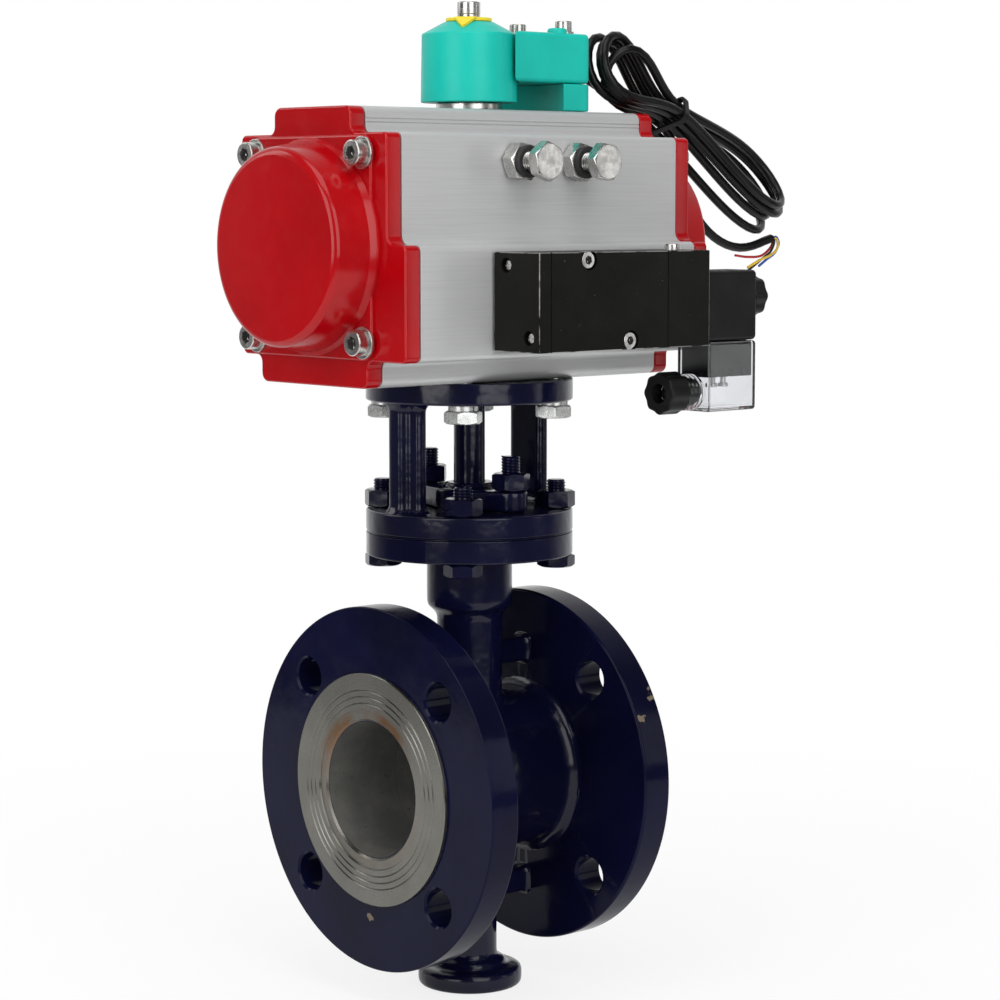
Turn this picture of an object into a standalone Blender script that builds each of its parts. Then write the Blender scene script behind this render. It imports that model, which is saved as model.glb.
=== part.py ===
"""Pneumatic actuated valve: a flanged quarter-turn valve, its yoke, a spring-return rack-and-pinion
actuator, a solenoid pilot valve and a position sensor with a tied hank of cable.

Metres, +Z up. The origin is where the stem's axis crosses the pipe's axis. X runs along the pipe and
the actuator, with the inlet at -X, and the solenoid valve and the stop bolts are on the -Y side.
"""

import math

import bmesh
import bpy
from mathutils import Matrix, Vector

MM = 0.001

# Clearances between pieces
FIT = 0.3 * MM
RUN = 0.3 * MM
SINK = 1.5 * MM
PAST = 1.0 * MM

# Sides of round pieces
SIDES_LARGE, SIDES_MEDIUM, SIDES_BORE, SIDES_SMALL = 30, 18, 12, 10
ARC_STEPS = 3
EDGE_STEPS = 2
FILLET_STEPS = 2
LUG_STEPS = 8
CAM_STEPS = 12
CURVE_STEPS = 2
GAP_STEPS = 3
TUBE_RESOLUTION = 1
FLAT_ANGLE = math.radians(0.5)
SHARP_ANGLE = math.radians(35)
WELD = 1e-6

# Pipe flanges and barrel
FLANGE_D = 185 * MM
FLANGE_T = 17 * MM
RAISED_D = 118 * MM
RAISED_H = 2 * MM
BOLT_CIRCLE_D = 145 * MM
BOLT_HOLE_D = 19 * MM
FACE_TO_FACE = 123 * MM
STEM_SHIFT = 5.7 * MM
BORE_D = 69 * MM
BARREL_D = 82 * MM
BARREL_FILLET = 7 * MM
RIM_CHAMFER = 1.5 * MM
LINER_WALL = 2 * MM
LINER_REACH = 22 * MM

# Necks, foot and ribs of the valve body
BONNET_D = 106 * MM
BONNET_T = 11.6 * MM
BODY_TOP_Z = 126.6 * MM
BOSS_D = 44 * MM
BOSS_BOTTOM_Z = 88 * MM
BOSS_TAPER = 4 * MM
NECK_D = 33.6 * MM
FOOT_NECK_D = 28 * MM
FOOT_D = 54 * MM
FOOT_T = 10 * MM
FOOT_BOTTOM_Z = -111 * MM
FOOT_STEP_D = 37 * MM
FOOT_STEP_T = 4 * MM
FOOT_ROUND = 2.5 * MM
RIB_W = 10 * MM
RIB_H = 13 * MM
RIB_Z = 61.5 * MM

# Stem, bushes, packing and plug
STEM_D = 16 * MM
STEM_SQUARE = 11 * MM
STEM_SQUARE_L = 30 * MM
BUSH_WALL = 2.2 * MM
BUSH_L = 37 * MM
PACKING_WALL = 4.4 * MM
PACKING_L = 25 * MM
PACKING_RINGS = 2
PACKING_GROOVE = 0.7 * MM
PLUG_D = 32 * MM
PLUG_T = 8 * MM
PLUG_SLOT_W = 4 * MM
PLUG_SLOT_T = 3 * MM

# Disc
DISC_RIM_T = 3 * MM
DISC_MID_D = 40 * MM
DISC_MID_T = 11 * MM
DISC_CROWN_T = 14 * MM
HUB_D = 26 * MM
HUB_L = 62 * MM
PIN_D = 6 * MM
PIN_Z = 18 * MM

# Yoke
YOKE_T = 10.8 * MM
GASKET_T = 0.6 * MM
YOKE_TOP_T = 11 * MM
YOKE_H = 77.2 * MM
COLUMN_X = 37.5 * MM
COLUMN_T = 7 * MM
COLUMN_W = 24 * MM
COLUMN_RIB_OUT = 6 * MM
COLUMN_RIB_W = 10 * MM
COLUMN_ROUND = 2.5 * MM
YOKE_WINDOW_D = 34 * MM

# Threaded fasteners of the valve and yoke
M10 = 10 * MM
M10_FLATS = 17 * MM
M10_NUT_T = 8.8 * MM
M10_HEAD_T = 6.4 * MM
BONNET_BOLT_R = 44.5 * MM
BONNET_BOLT_L = 38.5 * MM
YOKE_BOLT_R = 43 * MM
YOKE_BOLT_L = 27 * MM
SPRING_WASHER_D = 15 * MM
SPRING_WASHER_T = 2.6 * MM
BOLT_ANGLE = math.radians(45)
HEAD_TILTS = tuple(math.radians(tilt) for tilt in (10, 25, 40, 55))
NUT_TILTS = tuple(math.radians(tilt) for tilt in (20, 30, 40, 50))

# Gland
GLAND_T = 10.4 * MM
GLAND_LUG_Y = 32 * MM
GLAND_LUG_D = 17 * MM
GLAND_MID_D = 38 * MM
GLAND_COLLAR_D = 25 * MM
GLAND_COLLAR_H = 2.5 * MM
GLAND_STUD_OUT = 9 * MM
GLAND_STUD_IN = 7.5 * MM
GLAND_SLEEVE_L = 15.4 * MM

# Actuator body, an extrusion along X
ACT_L = 182 * MM
ACT_SEAT_GAP = 0.4 * MM
ACT_H = 134.6 * MM
ACT_AXIS_H = 67.1 * MM
FLANK_Y = 57 * MM
PAD_Y = 70.7 * MM
PAD_RISE = 1.5 * MM
SHOULDER_DROP = 13 * MM
BELLY_H = 13.3 * MM
TOP_TAB_Y = 30 * MM
BOTTOM_TAB_Y = 42 * MM
TAB_ROUND = 4.5 * MM
TAB_COVE = 4 * MM
FLANK_ROUND = 3 * MM
PAD_COVE = 5 * MM
CYLINDER_D = 88 * MM
AIR_PORT_D = 6 * MM
AIR_PORT_X = 12 * MM
YOKE_HOLE_DEPTH = 15 * MM

# End caps
CAP_T = 9.2 * MM
CAP_PLATE_Y = 47.5 * MM
CAP_PLATE_Z = 53.5 * MM
CAP_PLATE_H = 2 * MM
DOME_H = 34 * MM
DOME_BASE_D = 105 * MM
DOME_FRONT_D = 95 * MM
DOME_ROUND = 6 * MM
DOME_WALL = 4 * MM
CAP_CAVITY_D = 84 * MM
CAP_SCREW_Y = 42 * MM
CAP_SCREW_Z = 44.8 * MM
CAP_POCKET_D = 17 * MM

# Pinion, cam and racks
GEAR_MODULE = 2 * MM
GEAR_TEETH = 16
GEAR_PRESSURE = math.radians(20)
GEAR_BACKLASH = 0.32 * MM
GEAR_ADDENDUM = 0.92
GEAR_DEDENDUM = 1.25
FLANK_STEPS = 2
GEAR_W = 44 * MM
PINION_FOOT_D = 26 * MM
PINION_HEAD_D = 20 * MM
PINION_CORE_D = 24 * MM
PINION_FOOT_H = 1.6 * MM
PINION_OUT = 11 * MM
CAM_DROP = 26.3 * MM
CAM_T = 9 * MM
CAM_D = 46 * MM
CAM_STOP = 8 * MM
CAM_POCKET_D = 51 * MM
CAM_POCKET_GAP = 0.5 * MM
JOURNAL_WALL = 3.4 * MM
RACK_W = 40 * MM
RACK_BACK_Y = 31 * MM
RACK_TIP_X = 34 * MM
RACK_FIRST_X = -13 * MM
RACK_ROOT = 4 * MM
PISTON_X = 37 * MM
PISTON_T = 14 * MM
SEAL_W = 4.4 * MM
SEAL_DEPTH = 3 * MM
THRUST_D = 33.4 * MM
THRUST_T = 3.4 * MM

# Return springs
SPRING_WIRE_D = 5 * MM
SPRING_D = 58 * MM
SPRING_CURLS = 5
CURL_POINTS = 8

# Stop bolts
STOP_X = 19.4 * MM
STOP_HEAD_Y = 82.5 * MM
STOP_HEAD_T = 6.4 * MM
STOP_NUT_T = 8 * MM
STOP_GAP = 0.5 * MM
STOP_BOLT_TILT = math.radians(30)
STOP_NUT_TILT = math.radians(18)

# Indicator on the pinion
PUCK_D = 48.8 * MM
PUCK_DRAFT = 0.6 * MM
PUCK_SHOULDER_H = 34.2 * MM
PUCK_CONE_H = 6 * MM
PUCK_CROWN_D = 25 * MM
POINTER_D = 23.2 * MM
POINTER_T = 1.8 * MM
POINTER_TIP_R = 21 * MM
POINTER_TIP_W = 10.5 * MM
POINTER_ANGLE = math.radians(220)
PUCK_SCREW_D = 6 * MM
PUCK_SCREW_HEAD_D = 11.8 * MM
PUCK_SCREW_HEAD_H = 7.8 * MM
PUCK_SCREW_L = 40 * MM
PUCK_SCREW_FLATS = 5 * MM
PUCK_SCREW_SOCKET = 4 * MM

# Position sensor
SENSOR_END_X = 62 * MM
SENSOR_NEAR_X = 6 * MM
SENSOR_Y = 25 * MM
SENSOR_BASE_H = 14 * MM
SENSOR_H = 39.5 * MM
SENSOR_BAY_D = 53 * MM
SENSOR_FOOT_BAY_D = 88 * MM
SENSOR_ROUND = 3 * MM
NUB_X = 43 * MM
NUB_Y = -19 * MM
NUB_D = 10 * MM
NUB_H = 2.6 * MM

# Solenoid valve
VALVE_GASKET_T = 0.8 * MM
VALVE_FRONT_Y = 104.7 * MM
VALVE_BELOW = 23.5 * MM
VALVE_ABOVE = 24 * MM
VALVE_INLET_X = -39 * MM
VALVE_OUTLET_X = 38.5 * MM
COVER_T = 7.5 * MM
PILOT_L = 28.8 * MM
VALVE_CHAMFER = 1.2 * MM
SPOOL_AXIS_Y = -88 * MM
SPOOL_DROP = 26 * MM
SPOOL_D = 11.4 * MM
SPOOL_WAIST_D = 7 * MM
SPOOL_LANDS = 4
SPOOL_TRAVEL = 5 * MM
AIR_SOCKET_D = 11.5 * MM
AIR_SOCKET_STEP = 21 * MM
TUBE_D = 12 * MM
PLUNGER_D = 8 * MM
PLUNGER_L = 42 * MM
PLUNGER_TRAVEL = 1.5 * MM
TUBE_END_WALL = 5 * MM
BUTTON_X = 58 * MM
BUTTON_D = 8 * MM
BUTTON_H = 12 * MM
BUTTON_OUT = 3 * MM
BUTTON_SLOT = 1.2 * MM
BUTTON_TRAVEL = 1.5 * MM

# Coil and its plug
COIL_L = 39.5 * MM
COIL_W = 23 * MM
COIL_BELOW = 21.9 * MM
COIL_ABOVE = 13.5 * MM
COIL_ROUND = 2 * MM
COIL_NUT_D = 22 * MM
COIL_NUT_T = 9 * MM
COIL_NUT_BITE = 4 * MM
LOBES = 8
LOBE_DEPTH = 0.06
LOBE_POINTS = 5
PLUG_NEAR_X = 73 * MM
PLUG_H = 35.6 * MM
PLUG_WALL = 1.8 * MM
BLOCK_H = 18 * MM
BLOCK_SLOTS = 3
BLOCK_SLOT_W = 3 * MM
BLOCK_SLOT_T = 4 * MM
ENTRY_H = 10 * MM
ENTRY_D = 10 * MM
COLLAR_D = 17 * MM
COLLAR_L = 17 * MM
COLLAR_RIBS = 3
COLLAR_RIB_H = 0.8 * MM
GLAND_NUT_D = 21.4 * MM
GLAND_NUT_L = 13 * MM
GLAND_NUT_BITE = 6 * MM

# Sensor cable: its tied hank, tail and bare cores, in metres where a tuple holds them. Each turn has an outer
# and an inner lobe with a reach, a swell and a sag, and crosses the tie in numbered slots. The tail is placed
# from the tie and the cores from the cable's end
CABLE_D = 4.8 * MM
CABLE_STEP = 5.5 * MM
CABLE_EXIT_Y = -2.6 * MM
CABLE_EXIT_H = 22 * MM
CABLE_POINT_GAP = 5 * MM
STIFF_PASSES = 120
STIFF_GIVE = 0.5
STIFF_SPRING = -0.54
HANK_POINTS = 48
HANK_TIE_X = 127.4 * MM
HANK_TIE_DROP = 0.6 * MM
HANK_MIDDLE_Y = -13.6 * MM
HANK_SLOPE = math.radians(-29)
HANK_TILT = math.radians(20)
HANK_TWIST = math.radians(0.22) / MM
HANK_WAIST = 3.7 * MM
HANK_OUT = ((0.092, 0.034, -0.006), (0.086, 0.032, -0.007), (0.090, 0.034, -0.006), (0.084, 0.032, -0.008))
HANK_IN = ((0.058, 0.030, 0.006), (0.054, 0.028, 0.006), (0.057, 0.030, 0.0055), (0.047, 0.021, 0.005))
HANK_POWER_OUT = 1.7
HANK_POWER_IN = 1.9
HANK_LOWER = (-2, 0, 1, 2, -1)
HANK_UPPER = (-1.5, -0.5, 0.5, 1.5)
HANK_STEPS = 6
LEAD_PLACES = ((-0.044, -0.0055, -2.05), (-0.030, -0.0045, -2), (-0.015, -0.0032, -2))
GAP_SKIP = 6 * CABLE_D
TIE_W = 3.6 * MM
TIE_T = 1.2 * MM
TIE_HEAD = 6 * MM
TIE_SLACK = 0.7 * MM
CORE_D = 1.4 * MM
CORE_PLUG_D = 3.6 * MM
CORE_PLUG_L = 1.5 * MM
TAIL_POINTS = (
    (0.0055, -0.0104, -0.0110),
    (0.0095, -0.0122, -0.0230),
    (0.0135, -0.0135, -0.0355),
    (0.0195, -0.0146, -0.0480),
    (0.0280, -0.0160, -0.0585),
    (0.0390, -0.0170, -0.0655),
    (0.0510, -0.0178, -0.0688),
    (0.0625, -0.0180, -0.0688),
    (0.0725, -0.0180, -0.0665),
)
CORE_ROUTES = (
    ((0.0038, -0.0006, 0.0007), (0.0046, -0.0016, -0.0030), (0.0003, -0.0026, -0.0080),
     (-0.0062, -0.0026, -0.0115), (-0.0117, -0.0021, -0.0150)),
    ((0.0033, 0.0009, 0.0001), (0.0023, 0.0024, -0.0050), (-0.0042, 0.0034, -0.0095),
     (-0.0147, 0.0039, -0.0100), (-0.0247, 0.0034, -0.0090)),
    ((0.0033, -0.0014, -0.0005), (0.0013, -0.0036, -0.0055), (-0.0067, -0.0056, -0.0092),
     (-0.0157, -0.0061, -0.0117), (-0.0242, -0.0056, -0.0155)),
    ((0.0029, 0.0000, -0.0015), (-0.0002, -0.0002, -0.0070), (-0.0072, 0.0004, -0.0115),
     (-0.0137, 0.0009, -0.0155), (-0.0172, 0.0014, -0.0177)),
)

# Values worked out from those above
INLET_X = -(FACE_TO_FACE / 2 + STEM_SHIFT)
OUTLET_X = FACE_TO_FACE / 2 - STEM_SHIFT
BORE_R = BORE_D / 2
STEM_R = STEM_D / 2
BUSH_R = STEM_R + RUN + BUSH_WALL
PACKING_R = STEM_R + RUN + PACKING_WALL
YOKE_BOTTOM_Z = BODY_TOP_Z + GASKET_T + 2 * FIT
YOKE_BASE_Z = YOKE_BOTTOM_Z + YOKE_T
YOKE_TOP_Z = YOKE_BOTTOM_Z + YOKE_H
GLAND_BOTTOM_Z = YOKE_BASE_Z + FIT
GLAND_TOP_Z = GLAND_BOTTOM_Z + GLAND_T
PACKING_BOTTOM_Z = GLAND_BOTTOM_Z - GLAND_SLEEVE_L - PACKING_L - 2 * FIT
PACKING_TOP_Z = PACKING_BOTTOM_Z + FIT + PACKING_L
ACT_BOTTOM_Z = YOKE_TOP_Z + ACT_SEAT_GAP
ACT_TOP_Z = ACT_BOTTOM_Z + ACT_H
ACT_AXIS_Z = ACT_BOTTOM_Z + ACT_AXIS_H
PAD_TOP_Z = ACT_AXIS_Z + PAD_RISE
SHOULDER_Z = ACT_TOP_Z - SHOULDER_DROP
BELLY_Z = ACT_BOTTOM_Z + BELLY_H
CAP_INNER_X = ACT_L / 2 + FIT
CAP_FACE_X = CAP_INNER_X + CAP_T
DOME_X = CAP_INNER_X + DOME_H
CAVITY_X = DOME_X - DOME_WALL
CYLINDER_R = CYLINDER_D / 2
PISTON_R = CYLINDER_R - RUN
PISTON_OUTER_X = PISTON_X + PISTON_T
PITCH_R = GEAR_MODULE * GEAR_TEETH / 2
RACK_PITCH = math.pi * GEAR_MODULE
PINION_BOTTOM_Z = ACT_BOTTOM_Z + PINION_FOOT_H
PINION_TOP_Z = ACT_TOP_Z + PINION_OUT
CAM_Z = ACT_TOP_Z - CAM_DROP
GEAR_LOW_Z = ACT_AXIS_Z - GEAR_W / 2
GEAR_HIGH_Z = ACT_AXIS_Z + GEAR_W / 2
CAM_POCKET_TOP_Z = CAM_Z + CAM_T / 2 + CAM_POCKET_GAP
THRUST_TOP_Z = ACT_TOP_Z + FIT + THRUST_T
PUCK_BOTTOM_Z = THRUST_TOP_Z + RUN
PUCK_SHOULDER_Z = PUCK_BOTTOM_Z + PUCK_SHOULDER_H
PUCK_TOP_Z = PUCK_SHOULDER_Z + PUCK_CONE_H
POINTER_TOP_Z = PUCK_TOP_Z + FIT + POINTER_T
SENSOR_SPLIT_Z = ACT_TOP_Z + SENSOR_BASE_H
SENSOR_TOP_Z = ACT_TOP_Z + SENSOR_H
SPOOL_AXIS_Z = ACT_AXIS_Z - SPOOL_DROP
VALVE_BOTTOM_Z = SPOOL_AXIS_Z - VALVE_BELOW
VALVE_TOP_Z = SPOOL_AXIS_Z + VALVE_ABOVE
VALVE_BACK_Y = PAD_Y + VALVE_GASKET_T + 2 * FIT
PILOT_X = VALVE_OUTLET_X + FIT
PILOT_END_X = PILOT_X + PILOT_L
COIL_X = PILOT_END_X + FIT
COIL_BOTTOM_Z = SPOOL_AXIS_Z - COIL_BELOW
COIL_TOP_Z = SPOOL_AXIS_Z + COIL_ABOVE
PLUG_BOTTOM_Z = COIL_BOTTOM_Z - PLUG_H
ENTRY_Z = PLUG_BOTTOM_Z + ENTRY_H
COIL_END_X = COIL_X + COIL_L
COIL_NUT_X = COIL_END_X + FIT
TUBE_END_X = COIL_NUT_X + COIL_NUT_BITE
COLLAR_END_X = PLUG_NEAR_X - COLLAR_L
GLAND_NUT_X = COLLAR_END_X + GLAND_NUT_BITE
STOP_TIP_Y = CAM_STOP + STOP_GAP
CABLE_EXIT_Z = ACT_TOP_Z + CABLE_EXIT_H
HANK_TIE_Z = ACT_TOP_Z - HANK_TIE_DROP
AXIS_TURN = {
    "X": Matrix(((0, 0, 1), (1, 0, 0), (0, 1, 0))),
    "Y": Matrix(((0, 1, 0), (0, 0, 1), (1, 0, 0))),
    "Z": Matrix.Identity(3),
}


def clear_scene():
    for item in list(bpy.data.objects):
        bpy.data.objects.remove(item, do_unlink=True)


def collection(name):
    made = bpy.data.collections.new(name)
    bpy.context.scene.collection.children.link(made)
    return made


def finish(name, colour, roughness, metallic=0.0, alpha=1.0):
    """A Principled material."""
    made = bpy.data.materials.new(name)
    made.use_nodes = True
    shader = made.node_tree.nodes["Principled BSDF"]
    shader.inputs["Base Color"].default_value = (*colour, 1.0)
    shader.inputs["Roughness"].default_value = roughness
    shader.inputs["Metallic"].default_value = metallic
    shader.inputs["Alpha"].default_value = alpha
    made.diffuse_color = (*colour, alpha)
    return made


clear_scene()
PARTS = collection("pneumatic_actuated_valve")
CUTTERS = collection("cutters")

NAVY = finish("navy enamel", (0.010, 0.011, 0.035), 0.16)
CRIMSON = finish("crimson enamel", (0.42, 0.010, 0.016), 0.18)
ALUMINIUM = finish("anodised aluminium", (0.60, 0.61, 0.62), 0.38, 1.0)
STEEL = finish("zinc plated steel", (0.55, 0.55, 0.53), 0.30, 1.0)
STAINLESS = finish("stainless steel", (0.60, 0.60, 0.60), 0.25, 1.0)
BRONZE = finish("bearing bronze", (0.50, 0.34, 0.14), 0.40, 1.0)
GRAPHITE = finish("graphite packing", (0.04, 0.04, 0.045), 0.60)
RUBBER = finish("black rubber", (0.015, 0.015, 0.015), 0.70)
BLACK = finish("black polymer", (0.010, 0.010, 0.011), 0.45)
TEAL = finish("teal polymer", (0.02, 0.55, 0.45), 0.35)
YELLOW = finish("yellow polymer", (0.83, 0.68, 0.02), 0.40)
CLEAR = finish("clear polymer", (0.80, 0.82, 0.84), 0.10, 0.0, 0.35)
SPRING_STEEL = finish("spring steel", (0.20, 0.20, 0.21), 0.40, 1.0)
COPPER = finish("bare cores", (0.50, 0.05, 0.04), 0.45)


def helper(data, matrix=None):
    """A new object among the cutters."""
    item = bpy.data.objects.new(data.name, data)
    item.hide_render = True
    item.display_type = "WIRE"
    CUTTERS.objects.link(item)
    if matrix is not None:
        item.matrix_world = matrix
    return item


def part(name, item, material, carrier=None):
    """Makes an object a named piece of the valve, smooth on its round faces."""
    CUTTERS.objects.unlink(item)
    PARTS.objects.link(item)
    item.name = name
    item.data.name = name
    item.hide_render = False
    item.display_type = "TEXTURED"
    item.data.materials.clear()
    item.data.materials.append(material)
    if item.type == "MESH":
        item.data.shade_smooth()
        item.data.set_sharp_from_angle(angle=SHARP_ANGLE)
    if carrier is not None:
        item.parent = carrier
        item.matrix_parent_inverse = carrier.matrix_world.inverted()
    return item


def axis_empty(name, place):
    """An empty on the axis of a joint, which carries what moves there."""
    item = bpy.data.objects.new(name, None)
    item.location = place
    PARTS.objects.link(item)
    bpy.context.view_layer.update()
    return item


def along(axis, place):
    """The matrix that stands local Z along an axis, with its origin at a place."""
    return Matrix.Translation(place) @ AXIS_TURN[axis].to_4x4()


def mesh_from(maker):
    shape = bmesh.new()
    maker(shape)
    bmesh.ops.recalc_face_normals(shape, faces=shape.faces)
    mesh = bpy.data.meshes.new("shape")
    shape.to_mesh(mesh)
    shape.free()
    return mesh


def rods(radius, low, high, axis, places, sides=SIDES_SMALL):
    """Equal round rods along an axis, each through its place in the other two coordinates."""

    def maker(shape):
        for place in places:
            turn = Matrix.Translation((*place, (low + high) / 2))
            bmesh.ops.create_cone(shape, cap_ends=True, segments=sides, radius1=radius, radius2=radius,
                                  depth=high - low, matrix=AXIS_TURN[axis].to_4x4() @ turn)

    return helper(mesh_from(maker))


def hexagon(flats, low, high, axis, place, tilt=0.0):
    """A hexagonal bar along an axis."""

    def maker(shape):
        radius = flats / math.sqrt(3)
        turn = Matrix.Translation((*place, (low + high) / 2)) @ Matrix.Rotation(tilt, 4, "Z")
        bmesh.ops.create_cone(shape, cap_ends=True, segments=6, radius1=radius, radius2=radius,
                              depth=high - low, matrix=AXIS_TURN[axis].to_4x4() @ turn)

    return helper(mesh_from(maker))


def block(low, high, round_by=0.0):
    """A box between two corners, with its edges rounded."""

    def maker(shape):
        bmesh.ops.create_cube(shape, size=1.0)
        size = Vector(high) - Vector(low)
        middle = (Vector(high) + Vector(low)) / 2
        place = Matrix.Translation(middle) @ Matrix.Diagonal((*size, 1.0))
        bmesh.ops.transform(shape, matrix=place, verts=shape.verts)

    item = helper(mesh_from(maker))
    if round_by:
        bevel = item.modifiers.new("edges", "BEVEL")
        bevel.width = round_by
        bevel.segments = EDGE_STEPS
    return item


def turned(profile, sides, axis="Z", place=(0, 0, 0), ring=False):
    """A turned piece. The profile is (radius, height) pairs from the top down its outside. A ring closes."""
    mesh = bpy.data.meshes.new("turned")
    count = len(profile)
    edges = [(i, i + 1) for i in range(count - 1)]
    if ring:
        edges.append((count - 1, 0))
    mesh.from_pydata([(radius, 0.0, height) for radius, height in profile], edges, [])
    item = helper(mesh, along(axis, place))
    screw = item.modifiers.new("turn", "SCREW")
    screw.steps = sides
    screw.render_steps = sides
    screw.use_merge_vertices = True
    screw.merge_threshold = WELD
    return item


def ring_of(inner, outer, low, high, sides, axis="Z", place=(0, 0, 0)):
    profile = ((outer, high), (outer, low), (inner, low), (inner, high))
    return turned(profile, sides, axis, place, ring=True)


def arc(centre, radius, start, end, steps=ARC_STEPS):
    """Points on an arc, its angles in degrees."""
    angles = [math.radians(start + (end - start) * i / steps) for i in range(steps + 1)]
    return [(centre[0] + radius * math.cos(a), centre[1] + radius * math.sin(a)) for a in angles]


def rounded(corners):
    """An outline with its corners rounded. Each corner is (a, b, radius)."""
    points = []
    for i, (a, b, radius) in enumerate(corners):
        here = Vector((a, b))
        if not radius:
            points.append((a, b))
            continue
        back = (Vector(corners[i - 1][:2]) - here).normalized()
        ahead = (Vector(corners[(i + 1) % len(corners)][:2]) - here).normalized()
        half = back.angle(ahead) / 2
        reach = radius / math.tan(half)
        middle = here + (back + ahead).normalized() * radius / math.sin(half)
        start = here + back * reach - middle
        turn = start.angle_signed(here + ahead * reach - middle)
        for step in range(ARC_STEPS + 1):
            angle = -turn * step / ARC_STEPS
            points.append(tuple(middle + Matrix.Rotation(angle, 2) @ start))
    return points


def as_mesh(curve):
    """The curve's evaluated shape as a welded mesh object in its place."""
    bpy.context.view_layer.update()
    graph = bpy.context.evaluated_depsgraph_get()
    mesh = bpy.data.meshes.new_from_object(curve.evaluated_get(graph))
    shape = bmesh.new()
    shape.from_mesh(mesh)
    bmesh.ops.remove_doubles(shape, verts=shape.verts, dist=WELD)
    bmesh.ops.dissolve_limit(shape, angle_limit=FLAT_ANGLE, verts=shape.verts, edges=shape.edges)
    bmesh.ops.recalc_face_normals(shape, faces=shape.faces)
    shape.to_mesh(mesh)
    shape.free()
    item = helper(mesh, curve.matrix_world.copy())
    bpy.data.objects.remove(curve, do_unlink=True)
    return item


def prism(outlines, axis, low, high, matrix=None):
    """Flat closed outlines, given in the axis's other two coordinates, extruded along it."""
    curve = bpy.data.curves.new("outline", "CURVE")
    curve.dimensions = "2D"
    curve.fill_mode = "BOTH"
    curve.extrude = (high - low) / 2
    for outline in outlines:
        spline = curve.splines.new("POLY")
        spline.points.add(len(outline) - 1)
        for point, (a, b) in zip(spline.points, outline):
            point.co = (a, b, 0.0, 1.0)
        spline.use_cyclic_u = True
    turn = AXIS_TURN[axis].to_4x4() if matrix is None else matrix
    return as_mesh(helper(curve, turn @ Matrix.Translation((0, 0, (low + high) / 2))))


def tube(points, diameter, resolution):
    """A round tube through points, with its ends filled."""
    curve = bpy.data.curves.new("tube", "CURVE")
    curve.dimensions = "3D"
    curve.fill_mode = "FULL"
    curve.use_fill_caps = True
    curve.bevel_depth = diameter / 2
    curve.bevel_resolution = resolution
    spline = curve.splines.new("POLY")
    spline.points.add(len(points) - 1)
    for point, place in zip(spline.points, points):
        point.co = (*place, 1.0)
    return helper(curve)


def boolean(item, operation, others, solver):
    for other in others:
        modifier = item.modifiers.new(operation.lower(), "BOOLEAN")
        modifier.operation = operation
        modifier.solver = solver
        modifier.object = other
    return item


def cut(item, *cutters, solver="EXACT"):
    return boolean(item, "DIFFERENCE", cutters, solver)


def join(item, *others, solver="EXACT"):
    return boolean(item, "UNION", others, solver)


def around(radius, angle=BOLT_ANGLE, count=4):
    """Places on a circle."""
    angles = [angle + 2 * math.pi * i / count for i in range(count)]
    return [(radius * math.cos(a), radius * math.sin(a)) for a in angles]


def smooth_step(value):
    value = min(max(value, 0.0), 1.0)
    return value * value * (3 - 2 * value)


def smooth_curve(points, steps):
    """Points on a smooth curve through the given ones."""
    places = [Vector(p) for p in points]
    ends = [places[0] * 2 - places[1]] + places + [places[-1] * 2 - places[-2]]
    found = []
    for before, start, end, after in zip(ends, ends[1:], ends[2:], ends[3:]):
        for i in range(steps):
            t = i / steps
            bend = (2 * before - 5 * start + 4 * end - after) * t * t
            twist = (3 * start - before - 3 * end + after) * t ** 3
            found.append((2 * start + (end - before) * t + bend + twist) / 2)
    return found + [places[-1]]


def least_gap(points, diameter, apart):
    """The least distance between a tube's skin and itself, leaving out points closer than apart along it."""
    fine = smooth_curve(points, GAP_STEPS)
    travelled = [0.0]
    for start, end in zip(fine, fine[1:]):
        travelled.append(travelled[-1] + (end - start).length)
    least = math.inf
    for i, here in enumerate(fine):
        for j in range(i + 1, len(fine)):
            if travelled[j] - travelled[i] > apart:
                least = min(least, (fine[j] - here).length)
    return least - diameter


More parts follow.
